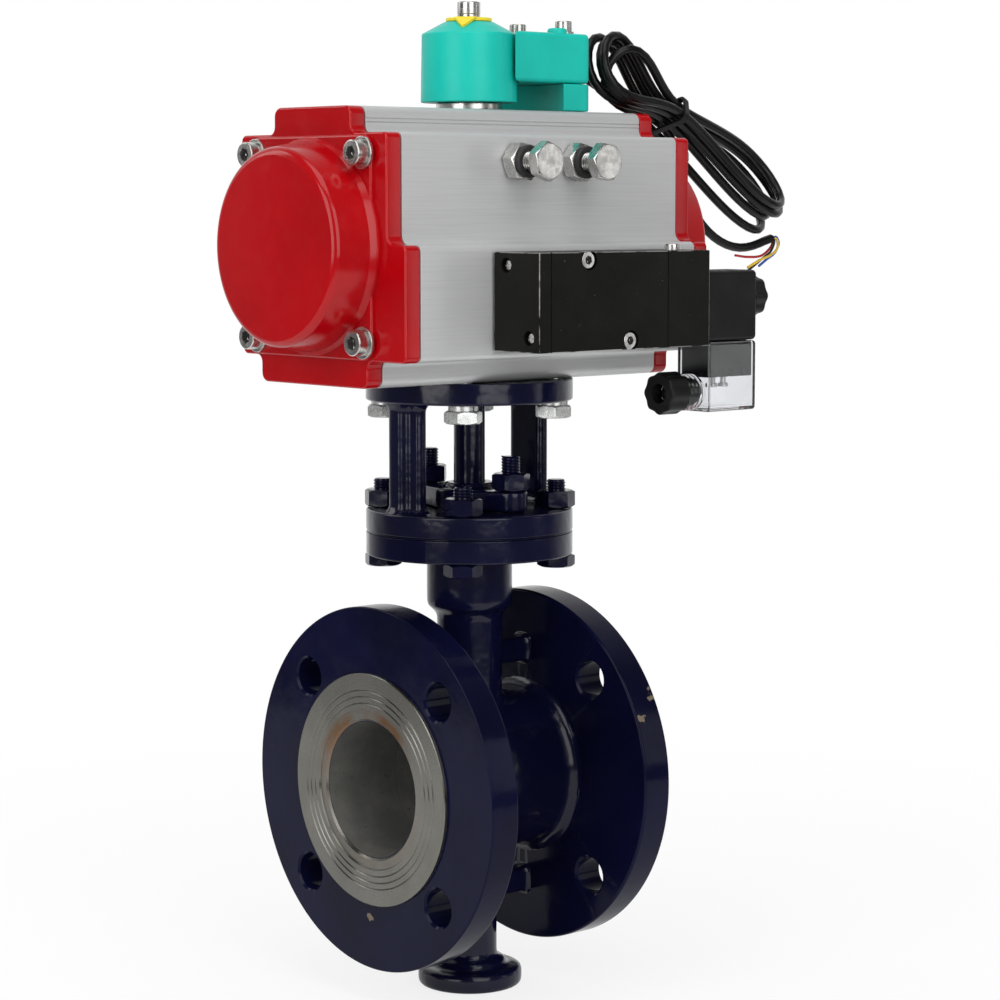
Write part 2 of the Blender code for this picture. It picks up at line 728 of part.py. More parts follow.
def make_valve_body():
    rim = FLANGE_D / 2
    face = RAISED_D / 2
    wall = BARREL_D / 2
    out_rim = OUTLET_X - RAISED_H
    in_rim = INLET_X + RAISED_H
    out_back = out_rim - FLANGE_T
    in_back = in_rim + FLANGE_T
    fillet = BARREL_FILLET
    profile = [(0, OUTLET_X), (face, OUTLET_X), (face, out_rim), (rim - RIM_CHAMFER, out_rim),
               (rim, out_rim - RIM_CHAMFER), (rim, out_back)]
    profile += arc((wall + fillet, out_back - fillet), fillet, 90, 180, FILLET_STEPS)
    profile += arc((wall + fillet, in_back + fillet), fillet, 180, 270, FILLET_STEPS)
    profile += [(rim, in_back), (rim, in_rim + RIM_CHAMFER), (rim - RIM_CHAMFER, in_rim), (face, in_rim),
                (face, INLET_X), (0, INLET_X)]
    body = turned(profile, SIDES_LARGE, "X")

    bonnet_z = BODY_TOP_Z - BONNET_T
    neck = turned([(0, BODY_TOP_Z), (BONNET_D / 2, BODY_TOP_Z), (BONNET_D / 2, bonnet_z),
                   (BOSS_D / 2, bonnet_z), (BOSS_D / 2, BOSS_BOTTOM_Z),
                   (NECK_D / 2, BOSS_BOTTOM_Z - BOSS_TAPER), (NECK_D / 2, BORE_R / 2), (0, BORE_R / 2)],
                  SIDES_LARGE)
    foot_top = FOOT_BOTTOM_Z + FOOT_T
    foot = turned([(0, -BORE_R / 2), (FOOT_NECK_D / 2, -BORE_R / 2),
                   (FOOT_NECK_D / 2, foot_top + FOOT_STEP_T), (FOOT_STEP_D / 2, foot_top + FOOT_STEP_T),
                   (FOOT_STEP_D / 2, foot_top), (FOOT_D / 2 - FOOT_ROUND, foot_top),
                   (FOOT_D / 2, foot_top - FOOT_ROUND),
                   (FOOT_D / 2, FOOT_BOTTOM_Z + FOOT_ROUND), (FOOT_D / 2 - FOOT_ROUND, FOOT_BOTTOM_Z),
                   (0, FOOT_BOTTOM_Z)], SIDES_MEDIUM)
    ribs = []
    for z in (RIB_Z, -RIB_Z):
        rib_low = (in_back - SINK, -RIB_W / 2, z - RIB_H / 2)
        ribs.append(block(rib_low, (out_back + SINK, RIB_W / 2, z + RIB_H / 2)))

    pocket = BORE_R + LINER_WALL + FIT
    pipe = turned([(0, OUTLET_X + PAST), (pocket, OUTLET_X + PAST), (pocket, -LINER_REACH),
                   (BORE_R, -LINER_REACH), (BORE_R, INLET_X - PAST), (0, INLET_X - PAST)], SIDES_LARGE, "X")
    bush_bore = BUSH_R + FIT
    stem_bore = STEM_R + 2 * RUN
    upper_bush_z = PACKING_BOTTOM_Z - BUSH_L - 2 * FIT
    plug_z = FOOT_BOTTOM_Z + PLUG_T + FIT
    lower_bush_z = plug_z + BUSH_L + 2 * FIT
    plug_bore = PLUG_D / 2 + FIT
    shaft = turned([(0, BODY_TOP_Z + PAST), (PACKING_R + FIT, BODY_TOP_Z + PAST),
                    (PACKING_R + FIT, PACKING_BOTTOM_Z), (bush_bore, PACKING_BOTTOM_Z),
                    (bush_bore, upper_bush_z), (stem_bore, upper_bush_z), (stem_bore, lower_bush_z),
                    (bush_bore, lower_bush_z), (bush_bore, plug_z), (plug_bore, plug_z),
                    (plug_bore, FOOT_BOTTOM_Z - PAST), (0, FOOT_BOTTOM_Z - PAST)], SIDES_MEDIUM)
    flange_holes = rods(BOLT_HOLE_D / 2, INLET_X - PAST, OUTLET_X + PAST, "X", around(BOLT_CIRCLE_D / 2),
                        SIDES_BORE)
    bonnet_holes = rods(M10 / 2 + FIT, bonnet_z - PAST, BODY_TOP_Z + PAST, "Z", around(BONNET_BOLT_R))
    join(body, neck, foot, *ribs, solver="MANIFOLD")
    cut(body, pipe, shaft, flange_holes, bonnet_holes, solver="MANIFOLD")
    part("valve_body", body, NAVY)

    liner = ring_of(BORE_R, BORE_R + LINER_WALL, -LINER_REACH + FIT, OUTLET_X, SIDES_LARGE, "X")
    reach = BORE_R + LINER_WALL + PAST
    cut(liner, rods(stem_bore, -reach, reach, "Z", [(0, 0)], SIDES_MEDIUM))
    part("seat_liner", liner, STAINLESS)
    upper = ring_of(STEM_R + RUN, BUSH_R, upper_bush_z + FIT, PACKING_BOTTOM_Z - FIT, SIDES_MEDIUM)
    part("upper_bush", upper, BRONZE)
    lower = ring_of(STEM_R + RUN, BUSH_R, plug_z + FIT, lower_bush_z - FIT, SIDES_MEDIUM)
    part("lower_bush", lower, BRONZE)

    plug = rods(PLUG_D / 2, FOOT_BOTTOM_Z, FOOT_BOTTOM_Z + PLUG_T, "Z", [(0, 0)], SIDES_MEDIUM)
    cut(plug, block((-PLUG_D, -PLUG_SLOT_W / 2, FOOT_BOTTOM_Z - PAST),
                    (PLUG_D, PLUG_SLOT_W / 2, FOOT_BOTTOM_Z + PLUG_SLOT_T)))
    part("bottom_plug", plug, STEEL)


def make_gland():
    grooves = []
    step = PACKING_L / PACKING_RINGS
    for i in range(PACKING_RINGS):
        top = PACKING_TOP_Z - i * step
        grooves += [(PACKING_R - PACKING_GROOVE, top), (PACKING_R, top - PACKING_GROOVE),
                    (PACKING_R, top - step + PACKING_GROOVE), (PACKING_R - PACKING_GROOVE, top - step)]
    outer = [p for i, p in enumerate(grooves) if i == 0 or p != grooves[i - 1]]
    inner = STEM_R + RUN
    profile = outer + [(inner, PACKING_BOTTOM_Z + FIT), (inner, PACKING_TOP_Z)]
    part("packing_rings", turned(profile, SIDES_MEDIUM, ring=True), GRAPHITE)

    lean = math.acos((GLAND_MID_D - GLAND_LUG_D) / 2 / GLAND_LUG_Y)
    lean_deg = math.degrees(lean)
    outline = arc((0, 0), GLAND_MID_D / 2, lean_deg - 90, 90 - lean_deg, FILLET_STEPS)
    outline += arc((0, GLAND_LUG_Y), GLAND_LUG_D / 2, 90 - lean_deg, 90 + lean_deg, LUG_STEPS)
    outline += arc((0, 0), GLAND_MID_D / 2, 90 + lean_deg, 270 - lean_deg, FILLET_STEPS)
    outline += arc((0, -GLAND_LUG_Y), GLAND_LUG_D / 2, 270 - lean_deg, 270 + lean_deg, LUG_STEPS)
    plate = prism([outline], "Z", GLAND_BOTTOM_Z, GLAND_TOP_Z)
    sleeve_bottom = PACKING_TOP_Z + FIT
    sleeve = rods(PACKING_R, sleeve_bottom, GLAND_BOTTOM_Z + SINK, "Z", [(0, 0)], SIDES_MEDIUM)
    collar_top = GLAND_TOP_Z + GLAND_COLLAR_H
    collar = rods(GLAND_COLLAR_D / 2, GLAND_TOP_Z - SINK, collar_top, "Z", [(0, 0)], SIDES_MEDIUM)
    hole = rods(STEM_R + 2 * RUN, sleeve_bottom - PAST, collar_top + PAST, "Z", [(0, 0)], SIDES_MEDIUM)
    lugs = [(0, -GLAND_LUG_Y), (0, GLAND_LUG_Y)]
    stud_holes = rods(M10 / 2 + FIT, GLAND_BOTTOM_Z - PAST, GLAND_TOP_Z + PAST, "Z", lugs)
    cut(join(plate, sleeve, collar), hole, stud_holes)
    part("gland_follower", plate, NAVY)

    nut_low = GLAND_TOP_Z + FIT
    for name, place in zip(("gland_stud_near", "gland_stud_far"), lugs):
        stud = rods(M10 / 2, YOKE_BASE_Z - GLAND_STUD_IN, nut_low + M10_NUT_T + GLAND_STUD_OUT, "Z", [place])
        part(name, join(stud, hexagon(M10_FLATS, nut_low, nut_low + M10_NUT_T, "Z", place)), STEEL)


def make_yoke():
    top_low = YOKE_TOP_Z - YOKE_TOP_T
    yoke = rods(BONNET_D / 2, YOKE_BOTTOM_Z, YOKE_BASE_Z, "Z", [(0, 0)], SIDES_LARGE)
    top = rods(BONNET_D / 2, top_low, YOKE_TOP_Z, "Z", [(0, 0)], SIDES_LARGE)
    columns = []
    for side in (-1, 1):
        near = side * COLUMN_X
        web = side * (COLUMN_X + COLUMN_T)
        far = side * (COLUMN_X + COLUMN_T + COLUMN_RIB_OUT)
        corners = [(near, -COLUMN_W / 2, COLUMN_ROUND), (web, -COLUMN_W / 2, COLUMN_ROUND),
                   (web, -COLUMN_RIB_W / 2, COLUMN_ROUND), (far, -COLUMN_RIB_W / 2, COLUMN_ROUND),
                   (far, COLUMN_RIB_W / 2, COLUMN_ROUND), (web, COLUMN_RIB_W / 2, COLUMN_ROUND),
                   (web, COLUMN_W / 2, COLUMN_ROUND), (near, COLUMN_W / 2, COLUMN_ROUND)]
        columns.append(prism([rounded(corners)], "Z", YOKE_BASE_Z - SINK, top_low + SINK))
    join(yoke, top, *columns)
    sleeve_hole = rods(PACKING_R + FIT, YOKE_BOTTOM_Z - PAST, YOKE_BASE_Z + PAST, "Z", [(0, 0)], SIDES_MEDIUM)
    top_hole = rods(YOKE_WINDOW_D / 2, top_low - PAST, YOKE_TOP_Z + PAST, "Z", [(0, 0)], SIDES_MEDIUM)
    base_holes = rods(M10 / 2 + FIT, YOKE_BOTTOM_Z - PAST, YOKE_BASE_Z + PAST, "Z", around(BONNET_BOLT_R))
    top_holes = rods(M10 / 2 + FIT, top_low - PAST, YOKE_TOP_Z + PAST, "Z", around(YOKE_BOLT_R))
    stud_holes = rods(M10 / 2 + FIT, YOKE_BASE_Z - GLAND_STUD_IN - FIT, YOKE_BASE_Z + PAST, "Z",
                      [(0, -GLAND_LUG_Y), (0, GLAND_LUG_Y)])
    cut(yoke, sleeve_hole, top_hole, base_holes, top_holes, stud_holes)
    part("yoke", yoke, NAVY)

    gasket_low = BODY_TOP_Z + FIT
    gasket_r = BONNET_BOLT_R - M10 / 2 - RIM_CHAMFER
    gasket = ring_of(PACKING_R + FIT, gasket_r, gasket_low, gasket_low + GASKET_T, SIDES_MEDIUM)
    part("bonnet_gasket", gasket, GRAPHITE)

    head_high = BODY_TOP_Z - BONNET_T - FIT
    nut_low = YOKE_BASE_Z + FIT
    for i, place in enumerate(around(BONNET_BOLT_R)):
        bolt = rods(M10 / 2, head_high - M10_HEAD_T, head_high + BONNET_BOLT_L, "Z", [place])
        head = hexagon(M10_FLATS, head_high - M10_HEAD_T, head_high, "Z", place, HEAD_TILTS[i])
        nut = hexagon(M10_FLATS, nut_low, nut_low + M10_NUT_T, "Z", place, NUT_TILTS[i])
        part(f"bonnet_bolt_{i + 1}", join(bolt, head, nut), NAVY)

    washer_high = top_low - FIT
    washer_low = washer_high - SPRING_WASHER_T
    for i, place in enumerate(around(YOKE_BOLT_R)):
        bolt = rods(M10 / 2, washer_low - M10_HEAD_T, washer_low + YOKE_BOLT_L, "Z", [place])
        head = hexagon(M10_FLATS, washer_low - M10_HEAD_T, washer_low, "Z", place, NUT_TILTS[-i])
        washer = rods(SPRING_WASHER_D / 2, washer_low - SINK, washer_high, "Z", [place])
        part(f"yoke_bolt_{i + 1}", join(bolt, head, washer), STEEL)


def actuator_outline():
    """The extrusion's section in Y and Z."""
    return rounded([
        (-BOTTOM_TAB_Y, ACT_BOTTOM_Z, TAB_ROUND), (BOTTOM_TAB_Y, ACT_BOTTOM_Z, TAB_ROUND),
        (BOTTOM_TAB_Y, BELLY_Z, TAB_COVE), (FLANK_Y, BELLY_Z, FLANK_ROUND),
        (FLANK_Y, SHOULDER_Z, FLANK_ROUND), (TOP_TAB_Y, SHOULDER_Z, TAB_COVE),
        (TOP_TAB_Y, ACT_TOP_Z, TAB_ROUND), (-TOP_TAB_Y, ACT_TOP_Z, TAB_ROUND),
        (-TOP_TAB_Y, SHOULDER_Z, TAB_COVE), (-FLANK_Y, SHOULDER_Z, FLANK_ROUND),
        (-FLANK_Y, PAD_TOP_Z, PAD_COVE), (-PAD_Y, PAD_TOP_Z, FLANK_ROUND),
        (-PAD_Y, BELLY_Z, FLANK_ROUND), (-BOTTOM_TAB_Y, BELLY_Z, TAB_COVE),
    ])


def make_actuator_body():
    body = prism([actuator_outline()], "X", -ACT_L / 2, ACT_L / 2)
    cylinder = rods(CYLINDER_R, -ACT_L / 2 - PAST, ACT_L / 2 + PAST, "X", [(0, ACT_AXIS_Z)], SIDES_LARGE)
    foot_r = PINION_FOOT_D / 2 + RUN + JOURNAL_WALL + FIT
    head_r = PINION_HEAD_D / 2 + RUN + JOURNAL_WALL + FIT
    foot_hole = rods(foot_r, ACT_BOTTOM_Z - PAST, ACT_AXIS_Z, "Z", [(0, 0)], SIDES_MEDIUM)
    head_hole = rods(head_r, ACT_AXIS_Z, ACT_TOP_Z + PAST, "Z", [(0, 0)], SIDES_MEDIUM)
    cam_pocket = rods(CAM_POCKET_D / 2, ACT_AXIS_Z, CAM_POCKET_TOP_Z, "Z", [(0, 0)], SIDES_MEDIUM)
    stop_holes = rods(M10 / 2 + FIT, -FLANK_Y - PAST, -CAM_STOP, "Y", [(CAM_Z, -STOP_X), (CAM_Z, STOP_X)])
    air_ports = rods(AIR_PORT_D / 2, -PAD_Y - PAST, -CYLINDER_R / 2, "Y",
                     [(SPOOL_AXIS_Z, -AIR_PORT_X), (SPOOL_AXIS_Z, AIR_PORT_X)])
    bolt_holes = rods(M10 / 2 + FIT, ACT_BOTTOM_Z - PAST, ACT_BOTTOM_Z + YOKE_HOLE_DEPTH, "Z",
                      around(YOKE_BOLT_R))
    cut(body, cylinder, foot_hole, head_hole, cam_pocket, stop_holes, air_ports, bolt_holes)
    part("actuator_body", body, ALUMINIUM)

    foot_bush = ring_of(PINION_FOOT_D / 2 + RUN, foot_r - FIT, PINION_BOTTOM_Z, ACT_AXIS_Z - CYLINDER_R,
                        SIDES_MEDIUM)
    part("pinion_bush_lower", foot_bush, BLACK)
    head_bush = ring_of(PINION_HEAD_D / 2 + RUN, head_r - FIT, CAM_POCKET_TOP_Z, ACT_TOP_Z, SIDES_MEDIUM)
    part("pinion_bush_upper", head_bush, BLACK)
    thrust = ring_of(PINION_HEAD_D / 2 + RUN, THRUST_D / 2, ACT_TOP_Z + FIT, THRUST_TOP_Z, SIDES_MEDIUM)
    part("thrust_ring", thrust, STAINLESS)


def make_end_cap(name, side):
    low, high = sorted((side * CAP_INNER_X, side * CAP_FACE_X))
    cap = prism([actuator_outline()], "X", low, high)
    plate_low, plate_high = sorted((side * (CAP_FACE_X - SINK), side * (CAP_FACE_X + CAP_PLATE_H)))
    plate = block((plate_low, -CAP_PLATE_Y, ACT_AXIS_Z - CAP_PLATE_Z),
                  (plate_high, CAP_PLATE_Y, ACT_AXIS_Z + CAP_PLATE_Z))
    front_r = DOME_FRONT_D / 2
    profile = [(0, DOME_X)]
    profile += reversed(arc((front_r - DOME_ROUND, DOME_X - DOME_ROUND), DOME_ROUND, 0, 90))
    profile += [(DOME_BASE_D / 2, CAP_FACE_X), (DOME_BASE_D / 2, CAP_FACE_X - SINK), (0, CAP_FACE_X - SINK)]
    dome = turned(profile, SIDES_LARGE, "X", (0, 0, ACT_AXIS_Z))
    cavity = rods(CAP_CAVITY_D / 2, CAP_INNER_X - PAST, CAVITY_X, "X", [(0, ACT_AXIS_Z)], SIDES_MEDIUM)
    corners = [(y, ACT_AXIS_Z + z) for y in (-CAP_SCREW_Y, CAP_SCREW_Y) for z in (-CAP_SCREW_Z, CAP_SCREW_Z)]
    pockets = rods(CAP_POCKET_D / 2, CAP_FACE_X + CAP_PLATE_H, DOME_X, "X", corners, SIDES_BORE)
    if side < 0:
        for item in (dome, cavity, pockets):
            item.matrix_world = Matrix.Rotation(math.pi, 4, "Z") @ item.matrix_world
    cut(join(cap, plate, dome), cavity, pockets)
    part(name, cap, CRIMSON)


def gear_outline():
    """The pinion's involute teeth."""
    base = PITCH_R * math.cos(GEAR_PRESSURE)
    tip = PITCH_R + GEAR_ADDENDUM * GEAR_MODULE
    root = PITCH_R - GEAR_DEDENDUM * GEAR_MODULE

    def involute(radius):
        angle = math.acos(min(base / radius, 1.0))
        return math.tan(angle) - angle

    half = (RACK_PITCH / 2 - GEAR_BACKLASH) / (2 * PITCH_R) + involute(PITCH_R)
    radii = [base + (tip - base) * i / FLANK_STEPS for i in range(FLANK_STEPS + 1)]
    flank = [(root, half)] + [(radius, half - involute(radius)) for radius in radii]
    points = []
    for tooth in range(GEAR_TEETH):
        middle = 2 * math.pi * tooth / GEAR_TEETH + math.pi / 2
        for radius, angle in flank:
            points.append((radius * math.cos(middle - angle), radius * math.sin(middle - angle)))
        for radius, angle in reversed(flank):
            points.append((radius * math.cos(middle + angle), radius * math.sin(middle + angle)))
    return points


def cam_outline():
    """The stop cam: a disc cut back to two flats, one for each stop bolt."""
    radius = CAM_D / 2
    lean = math.degrees(math.asin(CAM_STOP / radius))
    hub = PINION_CORE_D / 2
    corner = math.degrees(math.acos(CAM_STOP / hub))
    points = arc((0, 0), radius, -lean, 90 + lean, CAM_STEPS)
    return points + arc((0, 0), hub, 180 - corner, 270 + corner, CAM_STEPS)


def make_pinion(carrier):
    head_r = PINION_HEAD_D / 2
    core_r = PINION_CORE_D / 2
    foot_r = PINION_FOOT_D / 2
    cam_high = CAM_Z + CAM_T / 2
    pinion = turned([(0, PINION_TOP_Z), (head_r, PINION_TOP_Z), (head_r, cam_high), (core_r, cam_high - SINK),
                     (core_r, GEAR_LOW_Z), (foot_r, GEAR_LOW_Z - SINK), (foot_r, PINION_BOTTOM_Z),
                     (0, PINION_BOTTOM_Z)], SIDES_MEDIUM)
    gear = prism([gear_outline()], "Z", GEAR_LOW_Z, GEAR_HIGH_Z)
    cam = prism([cam_outline()], "Z", CAM_Z - CAM_T / 2, cam_high)
    half = STEM_SQUARE / 2 + FIT
    socket_top = YOKE_TOP_Z - YOKE_TOP_T + STEM_SQUARE_L + FIT
    socket = block((-half, -half, PINION_BOTTOM_Z - PAST), (half, half, socket_top))
    thread_low = POINTER_TOP_Z - PUCK_SCREW_L - PAST
    thread = rods(PUCK_SCREW_D / 2 + FIT, thread_low, PINION_TOP_Z + PAST, "Z", [(0, 0)])
    cut(join(pinion, gear, cam), socket, thread)
    part("pinion", pinion, STEEL, carrier)


def rack_outline():
    """The outlet piston's rack in X and Y, its teeth towards the pinion."""
    slope = math.tan(GEAR_PRESSURE)
    tip = GEAR_ADDENDUM * GEAR_MODULE
    root = GEAR_DEDENDUM * GEAR_MODULE
    half = RACK_PITCH / 4 - GEAR_BACKLASH / 2
    points = [(-PISTON_X - RACK_ROOT, RACK_BACK_Y), (-PISTON_X - RACK_ROOT, PITCH_R + root)]
    first = math.ceil(RACK_FIRST_X / RACK_PITCH)
    last = math.floor(RACK_TIP_X / RACK_PITCH - 0.5)
    for tooth in range(first, last):
        middle = (tooth + 0.5) * RACK_PITCH
        for sign, depth in ((-1, root), (-1, -tip), (1, -tip), (1, root)):
            points.append((middle + sign * (half + slope * depth), PITCH_R + depth))
    points += [(RACK_TIP_X, PITCH_R + root), (RACK_TIP_X, RACK_BACK_Y)]
    return [(-x, -y) for x, y in points]


def make_piston(name, side, carrier):
    """A piston and its rack. The inlet one, at side -1, has its rack on the +Y side of the pinion."""
    radius = PISTON_R
    groove = radius - SEAL_DEPTH
    middle = PISTON_X + PISTON_T / 2
    half = SEAL_W / 2 + FIT
    profile = [(0, PISTON_OUTER_X), (radius, PISTON_OUTER_X), (radius, middle + half),
               (groove, middle + half), (groove, middle - half), (radius, middle - half), (radius, PISTON_X),
               (0, PISTON_X)]
    piston = turned(profile, SIDES_LARGE, "X", (0, 0, ACT_AXIS_Z))
    seal = ring_of(groove + FIT, radius, middle - SEAL_W / 2, middle + SEAL_W / 2, SIDES_LARGE, "X",
                   (0, 0, ACT_AXIS_Z))
    rack = prism([rack_outline()], "Z", ACT_AXIS_Z - RACK_W / 2, ACT_AXIS_Z + RACK_W / 2)
    if side < 0:
        for item in (piston, seal, rack):
            item.matrix_world = Matrix.Rotation(math.pi, 4, "Z") @ item.matrix_world
    part(f"piston_{name}", join(piston, rack), ALUMINIUM, carrier)
    part(f"piston_seal_{name}", seal, RUBBER, carrier)


def make_spring(name, side):
    start = PISTON_OUTER_X + FIT + SPRING_WIRE_D / 2
    end = CAVITY_X - FIT - SPRING_WIRE_D / 2
    radius = (SPRING_D - SPRING_WIRE_D) / 2
    count = SPRING_CURLS * CURL_POINTS
    points = []
    for i in range(count + 1):
        angle = 2 * math.pi * i / CURL_POINTS
        x = side * (start + (end - start) * i / count)
        points.append(Vector((x, radius * math.cos(angle), ACT_AXIS_Z + radius * math.sin(angle))))
    print(f"spring_{name} least gap {least_gap(points, SPRING_WIRE_D, 2 * radius) / MM:.2f} mm")
    part(f"spring_{name}", tube(points, SPRING_WIRE_D, TUBE_RESOLUTION), SPRING_STEEL)


def make_stop(name, x, carrier):
    """A travel stop: a bolt against the cam, and its lock nut on the actuator's flank."""
    place = (CAM_Z, x)
    head_low = -STOP_HEAD_Y
    bolt = rods(M10 / 2, head_low, -STOP_TIP_Y, "Y", [place])
    join(bolt, hexagon(M10_FLATS, head_low, head_low + STOP_HEAD_T, "Y", place, STOP_BOLT_TILT))
    part(f"stop_bolt_{name}", bolt, STEEL, carrier)
    nut_high = -FLANK_Y - FIT
    nut = hexagon(M10_FLATS, nut_high - STOP_NUT_T, nut_high, "Y", place, STOP_NUT_TILT)
    cut(nut, rods(M10 / 2 + RUN, nut_high - STOP_NUT_T - PAST, nut_high + PAST, "Y", [place]))
    part(f"stop_nut_{name}", nut, STEEL)


def make_stem(carrier):
    bottom = FOOT_BOTTOM_Z + PLUG_T + FIT
    square_low = YOKE_TOP_Z - YOKE_TOP_T
    stem = rods(STEM_R, bottom, square_low + SINK, "Z", [(0, 0)], SIDES_MEDIUM)
    half = STEM_SQUARE / 2
    square = block((-half, -half, square_low), (half, half, square_low + STEM_SQUARE_L))
    pins = [(0, -PIN_Z), (0, PIN_Z)]
    cut(join(stem, square), rods(PIN_D / 2 + FIT, -STEM_D, STEM_D, "X", pins))
    part("stem", stem, STAINLESS, carrier)

    rim = BORE_R - RUN
    mid = DISC_MID_D / 2
    disc = turned([(0, DISC_CROWN_T / 2), (mid, DISC_MID_T / 2), (rim, DISC_RIM_T / 2),
                   (rim, -DISC_RIM_T / 2), (mid, -DISC_MID_T / 2), (0, -DISC_CROWN_T / 2)], SIDES_LARGE, "X")
    hub = rods(HUB_D / 2, -HUB_L / 2, HUB_L / 2, "Z", [(0, 0)], SIDES_MEDIUM)
    stem_hole = rods(STEM_R + FIT, -BORE_R - PAST, BORE_R + PAST, "Z", [(0, 0)], SIDES_MEDIUM)
    cut(join(disc, hub), stem_hole, rods(PIN_D / 2 + FIT, -HUB_D, HUB_D, "X", pins))
    part("disc", disc, STAINLESS, carrier)
    for name, place in zip(("disc_pin_lower", "disc_pin_upper"), pins):
        part(name, rods(PIN_D / 2, -HUB_D / 2, HUB_D / 2, "X", [place]), STEEL, carrier)


def make_indicator(carrier):
    outer = PUCK_D / 2
    crown = PUCK_CROWN_D / 2
    pocket = PINION_HEAD_D / 2 + FIT
    bore = PUCK_SCREW_D / 2 + FIT
    pocket_top = PINION_TOP_Z + FIT
    puck = turned([(bore, PUCK_TOP_Z), (crown, PUCK_TOP_Z), (outer - PUCK_DRAFT, PUCK_SHOULDER_Z),
                   (outer, PUCK_BOTTOM_Z), (pocket, PUCK_BOTTOM_Z), (pocket, pocket_top), (bore, pocket_top)],
                  SIDES_LARGE, ring=True)
    part("indicator_puck", puck, TEAL, carrier)

    low = PUCK_TOP_Z + FIT
    pointer = ring_of(bore, POINTER_D / 2, low, low + POINTER_T, SIDES_MEDIUM)
    fall = math.atan2(PUCK_CONE_H, outer - PUCK_DRAFT - crown)
    start = crown - 2 * SINK
    tip = (POINTER_TIP_R - start) / math.cos(fall)
    half = POINTER_TIP_W / 2
    lift = (crown - start) * math.tan(fall) + 2 * FIT
    lean = (Matrix.Rotation(POINTER_ANGLE, 4, "Z") @ Matrix.Translation((start, 0, low + lift))
            @ Matrix.Rotation(fall, 4, "Y"))
    corners = [(0, -half), (tip / 2, -half), (tip, 0), (tip / 2, half), (0, half)]
    tab = prism([corners], "Z", 0, POINTER_T, lean)
    part("indicator_pointer", join(pointer, tab), YELLOW, carrier)

    head_low = POINTER_TOP_Z + FIT
    head_high = head_low + PUCK_SCREW_HEAD_H
    head_r = PUCK_SCREW_HEAD_D / 2
    screw = turned([(0, head_high), (head_r, head_high), (head_r, head_low), (PUCK_SCREW_D / 2, head_low),
                    (PUCK_SCREW_D / 2, head_low - PUCK_SCREW_L), (0, head_low - PUCK_SCREW_L)], SIDES_SMALL)
    cut(screw, hexagon(PUCK_SCREW_FLATS, head_high - PUCK_SCREW_SOCKET, head_high + PAST, "Z", (0, 0)))
    part("puck_screw", screw, STAINLESS, carrier)


def make_sensor():
    split = SENSOR_SPLIT_Z
    foot = block((SENSOR_NEAR_X, -SENSOR_Y, ACT_TOP_Z + FIT), (SENSOR_END_X, SENSOR_Y, split), SENSOR_ROUND)
    cut(foot, rods(SENSOR_FOOT_BAY_D / 2, ACT_TOP_Z - PAST, split + PAST, "Z", [(0, 0)], SIDES_LARGE))
    part("sensor_base", foot, TEAL)
    head = block((SENSOR_NEAR_X, -SENSOR_Y, split + FIT), (SENSOR_END_X, SENSOR_Y, SENSOR_TOP_Z),
                 SENSOR_ROUND)
    nub = rods(NUB_D / 2, SENSOR_TOP_Z - SINK, SENSOR_TOP_Z + NUB_H, "Z", [(NUB_X, NUB_Y)], SIDES_MEDIUM)
    bay = rods(SENSOR_BAY_D / 2, split - PAST, SENSOR_TOP_Z + PAST, "Z", [(0, 0)], SIDES_LARGE)
    part("sensor_head", cut(join(head, nub), bay), TEAL)


def lobed(diameter, axis, low, high, place):
    """A knob with shallow lobes for the fingers."""
    count = LOBES * LOBE_POINTS
    outline = []
    for i in range(count):
        angle = 2 * math.pi * i / count
        radius = diameter / 2 * (1 - LOBE_DEPTH / 2 + LOBE_DEPTH / 2 * math.cos(LOBES * angle))
        outline.append((place[0] + radius * math.cos(angle), place[1] + radius * math.sin(angle)))
    return prism([outline], axis, low, high)


